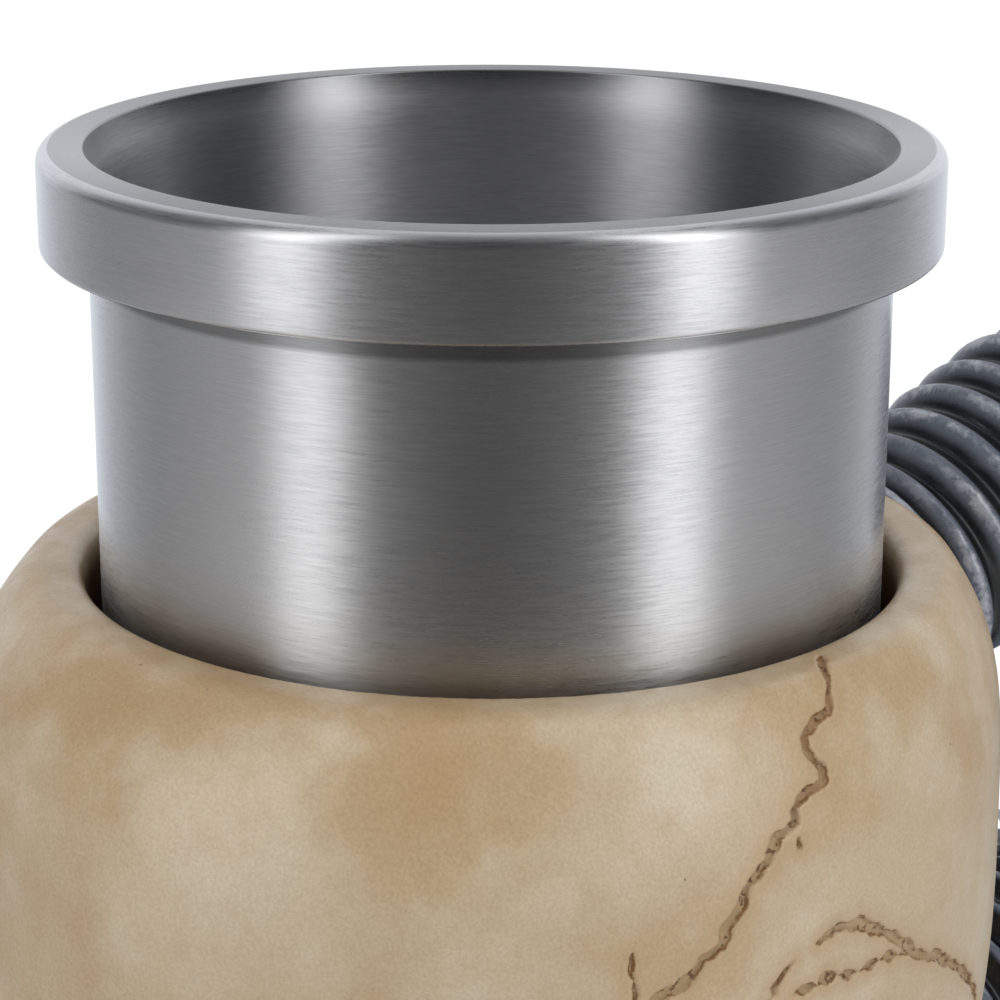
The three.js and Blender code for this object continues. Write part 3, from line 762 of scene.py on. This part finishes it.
def hose_finish(hose, name):
    """Black resin with silver rubbed unevenly on the crests, the rub partly a painted highlight, and a
    bluish grey painted highlight along every crest.
    """
    n = Nodes(bpy.data.materials.new(name))
    place = n.place()
    crest = n.attribute("crest")
    blotch = n.noise(place, 4.4, 4.0, 0.65)
    grit = n.noise(place, 0.8, 3.0, 0.6)
    shade = n.noise(place, 14, 3.0, 0.55)
    # Silver rub: partly the real dry-brushed silver on the crests, partly a painted highlight in
    # mottled streaks.
    reach = n.plus(crest, n.times(n.minus(blotch, 0.5), 0.9))
    reach = n.plus(reach, n.times(n.minus(grit, 0.5), 0.5))
    rub = n.band(reach, 0.86, 1.16)
    rub = n.times(rub, n.band(shade, 0.36, 0.58, 0.35, 1.0))
    groove, flank = (tuple(c * share for c in hose.black) for share in (0.5, 1.3))
    colour = n.coated(n.mix(n.band(blotch, 0.3, 0.7), groove, flank), [
        # Painted highlight: bluish grey along every crest, standing in for the soft reflection of the
        # light above.
        (n.band(crest, 0.45, 1.0, 0, 0.85), tone(104, 112, 126)),
        (n.times(rub, 0.85), hose.silver),
    ])
    gloss = n.plus(n.band(grit, 0.3, 0.7, 0.24, 0.36), n.times(rub, 0.12))
    normal = n.bump(grit, 0.06, 0.4)
    normal = n.bump(rub, 0.05, 0.5, normal)
    return n.finish(
        Base_Color=colour, Roughness=gloss, Metallic=n.times(rub, 0.45), Normal=normal
    )


def felt_finish(name):
    """Dark felt: matted short hairs with pale lint."""
    n = Nodes(bpy.data.materials.new(name))
    place = n.place()
    mat = n.noise(place, 0.7, 4.0, 0.7)
    cloud = n.noise(place, 9, 3.0, 0.6)
    lint = n.band(n.noise(place, 0.45, 2.0, 0.5), 0.68, 0.74)
    colour = n.mix(n.band(mat, 0.3, 0.7), (0.010, 0.010, 0.010), (0.034, 0.032, 0.030))
    colour = n.coated(colour, [
        (n.band(cloud, 0.4, 0.7, 0, 0.4), (0.045, 0.042, 0.038)),
        (n.times(lint, 0.5), (0.16, 0.15, 0.14)),
    ])
    normal = n.bump(mat, 0.35, 0.9)
    return n.finish(Base_Color=colour, Roughness=0.95, Normal=normal, Sheen_Weight=0.4)


def seam_lines(skull):
    """Points along every seam on both sides, a quarter of a millimetre apart, with the half
    width of the groove at each: the bearing and height of the seam, a fine wander, and the
    reach found by halving the distance from the axis."""
    field = lambda p: skull_field(p, skull)
    places, widths = [], []
    for order, (_, first, last, bead, line) in enumerate(SEAMS):
        line = np.array(line, float)
        metric = line * np.array([0.9, 1.0])
        length = np.concatenate([[0], np.cumsum(np.linalg.norm(np.diff(metric, axis=0), axis=1))])
        s = np.arange(0, length[-1], 0.22)
        bearing = np.interp(s, length, line[:, 0])
        height = np.interp(s, length, line[:, 1])
        for side in (1, -1):
            phase = order * 1.7 + side * 0.9
            wander = 0.08 * np.sin(s * 1.7 + phase) + 0.06 * np.sin(s * 3.9 + 2 * phase)
            sway = 0.08 * np.sin(s * 2.1 + 3 * phase) + 0.06 * np.sin(s * 4.3 + phase)
            turn = np.radians(bearing + wander / 0.9) * side
            over = np.maximum(height - LIP + 0.6, 0)
            level = np.clip(height + sway, 3, LIP - 0.6)
            low, high = np.full(len(s), 20.0), np.full(len(s), 75.0)
            low = np.where(level > POCKET_FLOOR, 43.5, low)
            for _ in range(22):
                middle = (low + high) / 2
                p = np.stack([middle * np.sin(turn), -middle * np.cos(turn), level], -1)
                outside = field(p) > 0
                high = np.where(outside, middle, high)
                low = np.where(outside, low, middle)
            reach = middle - over
            level = np.minimum(level + over, LIP)
            places.append(np.stack([reach * np.sin(turn), -reach * np.cos(turn), level], -1))
            half = first + (last - first) * s / s[-1]
            swell = 1 + 0.2 * np.sin(s * 0.8 + phase) + 0.2 * np.sin(s * 2.1 + phase)
            if bead:
                swell = swell * (0.1 + np.abs(np.sin(np.pi * s / bead)) ** 1.5)
            widths.append(half * swell * np.clip(np.minimum(s, s[-1] - s) / 1.5 + 0.2, 0, 1))
    return np.concatenate(places), np.concatenate(widths)


def seam_distance(points, places, widths):
    """Distance from each point to the edge of the nearest groove, negative inside it."""
    result = np.full(len(points), 6.0)
    for start in range(0, len(points), 4000):
        part = points[start:start + 4000]
        gap = (part ** 2).sum(1)[:, None] + (places ** 2).sum(1) - 2 * part @ places.T
        result[start:start + 4000] = (np.sqrt(np.maximum(gap, 0)) - widths).min(1)
    return np.minimum(result, 6.0)


# Brightness of the studio round the mug, by the angle from the viewer's side in degrees
PANELS = (
    (180, 1.1), (165, 1.05), (150, 0.82), (135, 0.56), (119, 0.44), (106, 0.4), (90, 0.47),
    (77, 0.56), (67, 0.62), (61, 0.75), (58, 0.95), (52, 1.05), (47, 1.0), (42, 0.75),
    (37, 0.43), (31, 0.25), (24, 0.2), (15, 0.16), (0, 0.13),
)


def studio_light(n, way, toward):
    """Colour of the studio in a direction: brightness by the angle of its level part from
    the viewer's side, so that the panels stand upright round the mug."""
    level = n.vector("NORMALIZE", n.vector("MULTIPLY", way, (1, 1, 0))[0])[0]
    facing = n.vector("DOT_PRODUCT", level, tuple(toward))["Value"]
    share = n.plus(n.times(facing, 0.5), 0.5)
    ramp = n.add("ShaderNodeValToRGB", {"Fac": share})
    elements = ramp.color_ramp.elements
    for _ in range(len(PANELS) - 2):
        elements.new(0.5)
    for element, (angle, light) in zip(elements, PANELS):
        element.position = (math.cos(math.radians(angle)) + 1) / 2
        cool = min(max((angle - 100) / 50, 0), 1)
        element.color = (light * (1 - 0.06 * cool), light, light * (1 + 0.07 * cool), 1)
    across = n.vector("DOT_PRODUCT", level, (-toward[1], toward[0], 0))["Value"]
    lean = n.plus(n.times(across, 0.04), 1.02)
    return n.mix(1.0, ramp.outputs["Color"], lean, "MULTIPLY"), facing


def settings():
    """Settings of the mug in this scene."""
    return bpy.context.scene.skull_mug


class MUG_OT_skull(bpy.types.Operator):
    """Cast skull with its seams, sockets and pocket"""

    bl_idname = "mug.skull"
    bl_label = "Skull"

    def execute(self, context):
        skull = settings().skull
        sizes = millimetres(skull)
        field = lambda p: skull_field(p, sizes)
        step = sizes["lattice"] * 1.0
        points, quads = lattice_net(field, SKULL_LOW - 4.3, SKULL_HIGH + 4.1, step)
        points = settle(field, points, 4)
        places, widths = seam_lines(sizes)
        made = mesh_object("skull", points, quads.tolist())
        mesh = made.data
        near = seam_distance(points, places, widths) < 1.55
        ends = np.zeros(len(mesh.edges) * 2, np.int32)
        mesh.edges.foreach_get("vertices", ends)
        chosen = np.flatnonzero(near[ends.reshape(-1, 2)].all(1))
        work = bmesh.new()
        work.from_mesh(mesh)
        work.edges.ensure_lookup_table()
        picked = [work.edges[int(i)] for i in chosen]
        bmesh.ops.subdivide_edges(work, edges=picked, cuts=5, use_grid_fill=True)
        lip = [
            e for e in work.edges
            if min(v.co.z for v in e.verts) > (LIP - 2.6) * MM and e.calc_length() > 0.5 * step * MM
        ]
        bmesh.ops.subdivide_edges(work, edges=lip, cuts=1, use_grid_fill=True)
        bmesh.ops.triangulate(work, faces=[f for f in work.faces if len(f.verts) > 4])
        work.to_mesh(mesh)
        work.free()
        points = settle(field, coordinates(mesh), 2)
        slope = slope_of(field, points)
        steep = np.maximum(np.linalg.norm(slope, axis=1), 0.05)
        normal = slope / steep[:, None]
        seam = seam_distance(points, places, widths)
        fall = np.clip((0.12 - seam) / 0.32, 0, 1)
        groove = fall * fall * (3 - 2 * fall)
        rim = np.exp(-((seam - 0.45) / 0.3) ** 2)
        lift = 0.03 * rim - sizes["seam_depth"] * groove
        cavity = sum(
            np.clip(1 - field(points + reach * normal) / (reach * steep), 0, 1.5)
            for reach in (2.5, 7.0)
        ) / 2
        outer = np.hypot(points[:, 0], points[:, 1]) > sizes["guide"] + 4.6
        # Painted shade: inside the pocket the cavity value darkens downward from the lip, standing in
        # for the shade in the gap round the cup; outside the pocket it is the wash in the hollows.
        wash = np.clip((LIP - 0.9 - points[:, 2]) / 3.5, 0, 1)
        cavity = np.where(outer | (points[:, 2] < POCKET_FLOOR - 1), cavity, wash)
        worn = np.clip(1 + field(points - 1.6 * normal) / (1.6 * steep), 0, 1)
        points = points + lift[:, None] * normal
        mesh.vertices.foreach_set("co", (points * MM).ravel())
        mesh.polygons.foreach_set("use_smooth", np.ones(len(mesh.polygons), bool))
        store(mesh, "seam", seam)
        store(mesh, "cavity", cavity)
        store(mesh, "worn", worn)
        mesh.update()
        mesh.materials.append(bone_finish(skull, "washed_bone"))
        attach(made, "mug_body")
        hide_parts("skull_casting")
        return {"FINISHED"}


class MUG_OT_teeth(bpy.types.Operator):
    """Upper teeth set round the jaw"""

    bl_idname = "mug.teeth"
    bl_label = "Teeth"

    def execute(self, context):
        skull = settings().skull
        spots = tooth_spots(millimetres(skull)["front"])
        rows, columns = 19, 28
        rise = np.linspace(-math.pi / 2, math.pi / 2, rows)[:, None]
        turn = np.linspace(0, 2 * math.pi, columns, endpoint=False)[None, :]
        square = lambda v, power: np.sign(v) * np.abs(v) ** power
        points, faces, roots = [], [], []
        crowns = [
            (spot, facing, width, side, order)
            for order, ((spot, facing), width) in enumerate(zip(spots, TOOTH_WIDTHS))
            for side in (1, -1)
        ]
        for spot, facing, width, side, order in crowns:
            ring = square(np.cos(rise), 0.5)
            up = square(np.sin(rise), 0.75) + 0 * turn
            taper = 1 - 0.16 * np.clip(up, 0, 1) - 0.05 * np.clip(-up, 0, 1)
            blade = 1 - (0.5 if order < 3 else 0.12) * np.clip(-up, 0, 1) ** 1.5
            x = ring * square(np.cos(turn), 0.62) * (width - 0.25) / 2 * taper
            y = ring * square(np.sin(turn), 0.62) * TOOTH_DEPTH / 2 * blade
            y = y - 0.5 * np.cos(up * 1.4)
            tall = TOOTH_HEIGHT * (0.5 + 0.03 * math.sin(order * 2.1 + side))
            z = TOOTH_FOOT + TOOTH_HEIGHT / 2 + up * tall
            if order > 3:
                z = z + 0.35 * np.cos(2 * turn) * np.clip(-up, 0, 1)
            c, s = math.cos(facing * side), math.sin(facing * side)
            middle_x, middle_y = spot[0] * side, spot[1]
            crown = np.stack([c * x - s * y + middle_x, s * x + c * y + middle_y, z], -1)
            faces.append(grid_faces(rows, columns) + len(points) * rows * columns)
            points.append(crown.reshape(-1, 3))
            roots.append(np.clip((up - 0.25) / 0.5, 0, 1).ravel())
        made = mesh_object("upper_teeth", np.concatenate(points), np.concatenate(faces).tolist())
        mesh = made.data
        store(mesh, "root", np.concatenate(roots))
        store(mesh, "seam", np.full(len(mesh.vertices), 6.0))
        close_poles(mesh)
        mesh.materials.append(bone_finish(skull, "tooth_enamel", teeth=True))
        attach(made, "mug_body")
        return {"FINISHED"}


def close_poles(mesh):
    """Points that lie together are merged and the faces turned outward."""
    work = bmesh.new()
    work.from_mesh(mesh)
    bmesh.ops.remove_doubles(work, verts=work.verts, dist=1e-6)
    bmesh.ops.dissolve_degenerate(work, edges=work.edges, dist=1e-7)
    bmesh.ops.recalc_face_normals(work, faces=work.faces)
    work.to_mesh(mesh)
    work.free()
    mesh.update()


def revolved(name, profile, columns):
    """Profile of radius and height carried round the Z axis, with a UV map whose first
    number runs round and whose second is the length along the profile in metres."""
    turn = np.linspace(0, 2 * math.pi, columns, endpoint=False)
    x = profile[:, :1] * np.cos(turn)
    y = profile[:, :1] * np.sin(turn)
    z = profile[:, 1:] + 0 * turn
    points = np.stack([x, y, z], -1).reshape(-1, 3)
    rows = len(profile)
    faces = grid_faces(rows, columns)
    made = mesh_object(name, points, faces.tolist())
    length = np.concatenate([[0], np.cumsum(np.linalg.norm(np.diff(profile, axis=0), axis=1))])
    column = faces % columns
    wrapped = np.where((column == 0) & (column.max(1, keepdims=True) == columns - 1), columns, column)
    u = wrapped / columns
    v = length[faces // columns] * MM
    layer = made.data.uv_layers.new(name="UVMap")
    layer.data.foreach_set("uv", np.stack([u, v], -1).astype(np.float32).ravel())
    return made


class MUG_OT_cup(bpy.types.Operator):
    """Steel cup with its folded mouth band"""

    bl_idname = "mug.cup"
    bl_label = "Steel cup"

    def execute(self, context):
        group = settings().cup
        cup = millimetres(group)
        foot, top = CUP_LOW[2], CUP_HIGH[2]
        under = top - cup["band"]
        sheet, heel, radius = cup["sheet"], cup["heel"], cup["radius"]
        bore, band = radius - sheet, CUP_HIGH[0]
        outer, inner, flare = cup["outer_round"], cup["inner_round"], cup["mouth"]
        # fine is the rounding of the band's lower edge; faint and full are the depths below the band
        # where the painted shadow on the wall starts and reaches full strength.
        fine, faint, full = 0.5, 2.7, 2.2
        profile = np.concatenate([
            [(0.0, foot)],
            arc((radius - heel, foot + heel), heel, -90, 0, 18),
            [(radius, under - faint), (radius, under - full)],
            arc((radius + flare, top - sheet - flare), flare, 180, 90, 8),
            arc((band - outer, top - outer), outer - sheet, 90, 0, 8),
            [(band - sheet, under + fine)],
            arc((band - sheet + fine, under + fine), fine, 180, 270, 4),
            arc((band - fine, under + fine), fine, -90, 0, 4),
            arc((band - outer, top - outer), outer, 0, 90, 14),
            arc((bore + flare + inner, top - inner), inner, 90, 180, 8),
            [(bore, top - 2.6)],
            arc((bore - heel + sheet, foot + heel), heel - sheet, 0, -90, 16),
            [(0.0, foot + sheet)],
        ])
        made = revolved("steel_cup", spaced(profile, 3.0), 192)
        points = coordinates(made.data)
        reach = np.hypot(points[:, 0], points[:, 1])
        tucked = (reach > bore + 0.5 * sheet) & (reach < band - 1.5 * sheet)
        store(made.data, "inside", reach < bore + 0.5 * sheet)
        # Painted shadow under the band: strength of the darkening on the outer wall, rising from
        # nothing 2.7 mm below the band to full strength 2.2 mm below it.
        shade = np.clip((points[:, 2] - under + faint) / (faint - full), 0, 1)
        store(made.data, "shade", shade * tucked)
        close_poles(made.data)
        made.data.materials.append(steel_finish("brushed_steel", tuple(group.steel), True))
        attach(made, "insert")
        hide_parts("insert_cup")
        return {"FINISHED"}


class MUG_OT_handle(bpy.types.Operator):
    """Ribbed hose handle with its two collars"""

    bl_idname = "mug.handle"
    bl_label = "Hose handle"

    def execute(self, context):
        group = settings().hose
        hose = millimetres(group)
        finish = hose_finish(group, "black_hose")
        first = COLLAR_LENGTH + 0.3
        last = HOSE_LENGTH - first
        count = round((last - first) / hose["pitch"])
        steps = 14
        along = np.concatenate([
            [0.0, first - 0.4], np.linspace(first, last, count * steps + 1),
            [last + 0.4, HOSE_LENGTH],
        ])
        phase = np.clip((along - first) / (last - first), 0, 1) * count
        rib = (0.5 - 0.5 * np.cos(2 * np.pi * phase)) ** 0.9
        low = hose["radius"] - hose["rib"]
        spigot = COLLAR_BORE - 0.3
        plain = (along < first) | (along > last)
        radius = np.where(plain, spigot, low + hose["rib"] * rib)
        columns = 72
        turn = np.linspace(0, 2 * math.pi, columns, endpoint=False)
        place, heading = hose_walk(along, HOSE_PIECES)
        lift = radius[:, None] * np.sin(turn)
        points = np.stack([
            -radius[:, None] * np.cos(turn),
            place[:, :1] - lift * np.sin(heading)[:, None],
            place[:, 1:] + lift * np.cos(heading)[:, None],
        ], -1).reshape(-1, 3)
        faces = grid_faces(len(along), columns).tolist()
        faces.append(list(range(columns))[::-1])
        faces.append(list(range(len(points) - columns, len(points))))
        made = mesh_object("hose", points, faces)
        mesh = made.data
        # Crest value for the material, set a little off the top of each rib: it places the painted
        # crest highlight and the silver rub.
        rubbed = 0.5 - 0.5 * np.cos(2 * np.pi * (phase + 0.1))
        store(mesh, "crest", np.repeat(np.where(plain, 0.0, rubbed), columns))
        close_poles(mesh)
        mesh.materials.append(finish)
        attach(made, "mug_body")
        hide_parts("hose_handle")
        for name, (spot, out) in zip(("upper_hose_collar", "lower_hose_collar"), SEATS):
            fine = 1.8
            profile = np.concatenate([
                arc((COLLAR_BORE + 0.2, 0.2), 0.2, 180, 270, 3),
                arc((COLLAR_RADIUS - 0.3, 0.3), 0.3, -90, 0, 4),
                arc((COLLAR_RADIUS - fine, COLLAR_LENGTH - fine), fine, 0, 90, 6),
                arc((COLLAR_BORE + 0.4, COLLAR_LENGTH - 0.4), 0.4, 90, 180, 4),
                [(COLLAR_BORE, 0.2)],
            ])
            ring = revolved(name.replace("_hose", ""), spaced(profile, 1.2), 96)
            points = coordinates(ring.data)
            # The outer end of each collar takes the same painted crest highlight and silver rub as the
            # hose crests.
            high = np.clip((points[:, 2] - COLLAR_SEAT) / 1.2, 0, 1)
            wide = np.clip((np.hypot(points[:, 0], points[:, 1]) - COLLAR_BORE - 0.6) / 1.4, 0, 1)
            y = spot[0] + points[:, 2] * out[0] - points[:, 1] * out[1]
            z = spot[1] + points[:, 2] * out[1] + points[:, 1] * out[0]
            placed = np.stack([points[:, 0], y, z], -1)
            ring.data.vertices.foreach_set("co", (placed * MM).ravel())
            store(ring.data, "crest", high * wide)
            close_poles(ring.data)
            ring.data.materials.append(finish)
            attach(ring, "mug_body")
            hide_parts(name)
        return {"FINISHED"}


class MUG_OT_base(bpy.types.Operator):
    """Felt pad under the skull and the steel pins of the handle"""

    bl_idname = "mug.base"
    bl_label = "Pad and pins"

    def execute(self, context):
        half = (PAD_HIGH - PAD_LOW) / 2
        tall, fine = PAD_HIGH[2], 0.45
        profile = np.concatenate([
            [(0.0, 0.0)],
            arc((half[0] - fine, fine), fine, -90, 0, 6),
            arc((half[0] - fine, tall - fine), fine, 0, 90, 6),
            [(0.0, tall)],
        ])
        pad = revolved("felt_pad", spaced(profile, 2.0), 160)
        points = coordinates(pad.data)
        reach = np.hypot(points[:, 0], points[:, 1]) / half[0]
        points[:, 1] *= 1 + (half[1] / half[0] - 1) * np.clip(reach * 4, 0, 1)
        pad.data.vertices.foreach_set("co", (points * MM).ravel())
        close_poles(pad.data)
        pad.data.materials.append(felt_finish("dark_felt"))
        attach(pad, "mug_body")
        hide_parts("base_pad")
        drawn = steel_finish("drawn_rod", (0.5, 0.5, 0.52), False)
        for name in ("upper_hose_pin", "lower_hose_pin"):
            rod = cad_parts[name]
            rod.data.materials.clear()
            rod.data.materials.append(drawn)
        return {"FINISHED"}


class MUG_OT_stage(bpy.types.Operator):
    """Floor, light and camera"""

    bl_idname = "mug.stage"
    bl_label = "Stage"

    def execute(self, context):
        stage = settings().stage
        scene = context.scene
        turn = np.linspace(0, 2 * math.pi, 96, endpoint=False)
        ring = np.stack([np.cos(turn), np.sin(turn), 0 * turn], -1) * 6000
        floor = mesh_object("floor", ring, [list(range(96))], smooth=False)
        n = Nodes(bpy.data.materials.new("pale_floor"))
        ray = n.add("ShaderNodeLightPath").outputs
        toward = np.array([math.sin(stage.standpoint), -math.cos(stage.standpoint), 0.0])
        seen = n.times(ray["Is Camera Ray"], 0.6)
        seen = n.math("MAXIMUM", seen, ray["Is Glossy Ray"])
        paper = n.add("ShaderNodeBsdfDiffuse", {"Color": (0.86, 0.86, 0.86)})
        shown = n.mix(ray["Is Glossy Ray"], (1.25, 1.25, 1.25), studio_light(n, n.place(), toward)[0])
        glow = n.add("ShaderNodeEmission", {"Color": shown, "Strength": 1.0})
        both = n.add("ShaderNodeMixShader", {0: seen, 1: paper.outputs[0], 2: glow.outputs[0]})
        n.add("ShaderNodeOutputMaterial", {"Surface": both.outputs[0]})
        floor.data.materials.append(n.owner)
        self.sky(scene, stage, toward)
        self.lamps(stage, toward)
        camera = bpy.data.cameras.new("camera")
        camera.lens = stage.lens
        camera.sensor_width = 36.0
        camera.clip_start = 0.01
        viewer = linked("camera", camera)
        spot = Vector((*(toward[:2] * stage.distance), stage.height))
        viewer.matrix_world = (
            Matrix.Translation(spot)
            @ Matrix.Rotation(stage.bearing, 4, "Z")
            @ Matrix.Rotation(math.pi / 2 - stage.tilt, 4, "X")
            @ Matrix.Rotation(stage.roll, 4, "Z")
        )
        scene.camera = viewer
        scene.view_settings.view_transform = "Standard"
        return {"FINISHED"}

    def sky(self, scene, stage, toward):
        """Even light for the object, white behind it, and for reflections a studio that is
        dim in front, with bright panels at both sides and a soft glow above."""
        scene.world = bpy.data.worlds.new("studio")
        n = Nodes(scene.world)
        ray = n.add("ShaderNodeLightPath").outputs
        way = n.add("ShaderNodeTexCoord").outputs["Generated"]
        height = n.parts(way)["Z"]
        panels, facing = studio_light(n, way, toward)
        panels = n.add("ShaderNodeGamma", {"Color": panels, "Gamma": 1.8}).outputs[0]
        panels = n.mix(1.0, panels, (2.3, 2.3, 2.3), "MULTIPLY")
        studio = n.mix(n.band(facing, 0.5, 0.3), panels, (0.13, 0.135, 0.145))
        studio = n.mix(n.band(facing, -0.4, -0.85), studio, (0.9, 0.92, 0.97))
        studio = n.mix(n.band(height, 0.9, 0.98), studio, (0.35, 0.35, 0.37))
        colour = n.mix(ray["Is Glossy Ray"], (stage.ambient,) * 3, studio)
        clear = n.math("MAXIMUM", ray["Is Camera Ray"], ray["Is Transmission Ray"])
        colour = n.mix(clear, colour, (1, 1, 1))
        sky = n.add("ShaderNodeBackground", {"Color": colour, "Strength": 1.0})
        n.add("ShaderNodeOutputWorld", {"Surface": sky.outputs[0]})

    def lamps(self, stage, toward):
        """Overhead softbox and two tall side softboxes, aimed at the cup."""
        right = np.array([-toward[1], toward[0], 0.0])
        aim = Vector((0, 0, 0.09))
        for name, before, aside, high, wide, power in (
            ("overhead", 0.35, 0.0, 1.25, 0.9, stage.overhead),
            ("right_panel", 0.5, 0.8, 0.35, 0.3, stage.right),
            ("left_panel", 0.5, -0.8, 0.35, 0.3, stage.left),
        ):
            light = bpy.data.lights.new(name, "AREA")
            light.shape = "RECTANGLE"
            light.size, light.size_y = wide, 0.9
            light.energy = power
            lamp = linked(name, light)
            lamp.visible_glossy = False
            lamp.location = Vector(before * toward + aside * right + np.array([0, 0, high]))
            lamp.rotation_euler = (lamp.location - aim).to_track_quat("Z", "Y").to_euler()


class MugSettings(bpy.types.PropertyGroup):
    """All settings of the mug."""

    skull: PointerProperty(type=SkullSettings, name="Skull", description="Cast skull")
    cup: PointerProperty(type=CupSettings, name="Cup", description="Steel cup")
    hose: PointerProperty(type=HoseSettings, name="Hose", description="Hose handle")
    stage: PointerProperty(type=StageSettings, name="Stage", description="Camera and light")


OPERATORS = (MUG_OT_stage, MUG_OT_skull, MUG_OT_teeth, MUG_OT_cup, MUG_OT_handle, MUG_OT_base)


class MUG_PT_panel(bpy.types.Panel):
    """Skull mug pieces and settings"""

    bl_idname = "MUG_PT_panel"
    bl_label = "Skull Mug"
    bl_space_type = "VIEW_3D"
    bl_region_type = "UI"
    bl_category = "Skull Mug"

    def draw(self, context):
        for operator in OPERATORS:
            self.layout.operator(operator.bl_idname)
        for key in ("skull", "cup", "hose", "stage"):
            group = getattr(context.scene.skull_mug, key)
            box = self.layout.box()
            for item in group.bl_rna.properties:
                if item.identifier not in ("rna_type", "name"):
                    box.prop(group, item.identifier)


CLASSES = (
    SkullSettings, CupSettings, HoseSettings, StageSettings, MugSettings, *OPERATORS, MUG_PT_panel,
)


def register():
    for kind in CLASSES:
        bpy.utils.register_class(kind)
    bpy.types.Scene.skull_mug = PointerProperty(type=MugSettings)


def unregister():
    del bpy.types.Scene.skull_mug
    for kind in reversed(CLASSES):
        bpy.utils.unregister_class(kind)


def main():
    register()
    bpy.ops.mug.stage()
    bpy.ops.mug.skull()
    bpy.ops.mug.teeth()
    bpy.ops.mug.cup()
    bpy.ops.mug.handle()
    bpy.ops.mug.base()


if __name__ == "__main__":
    main()
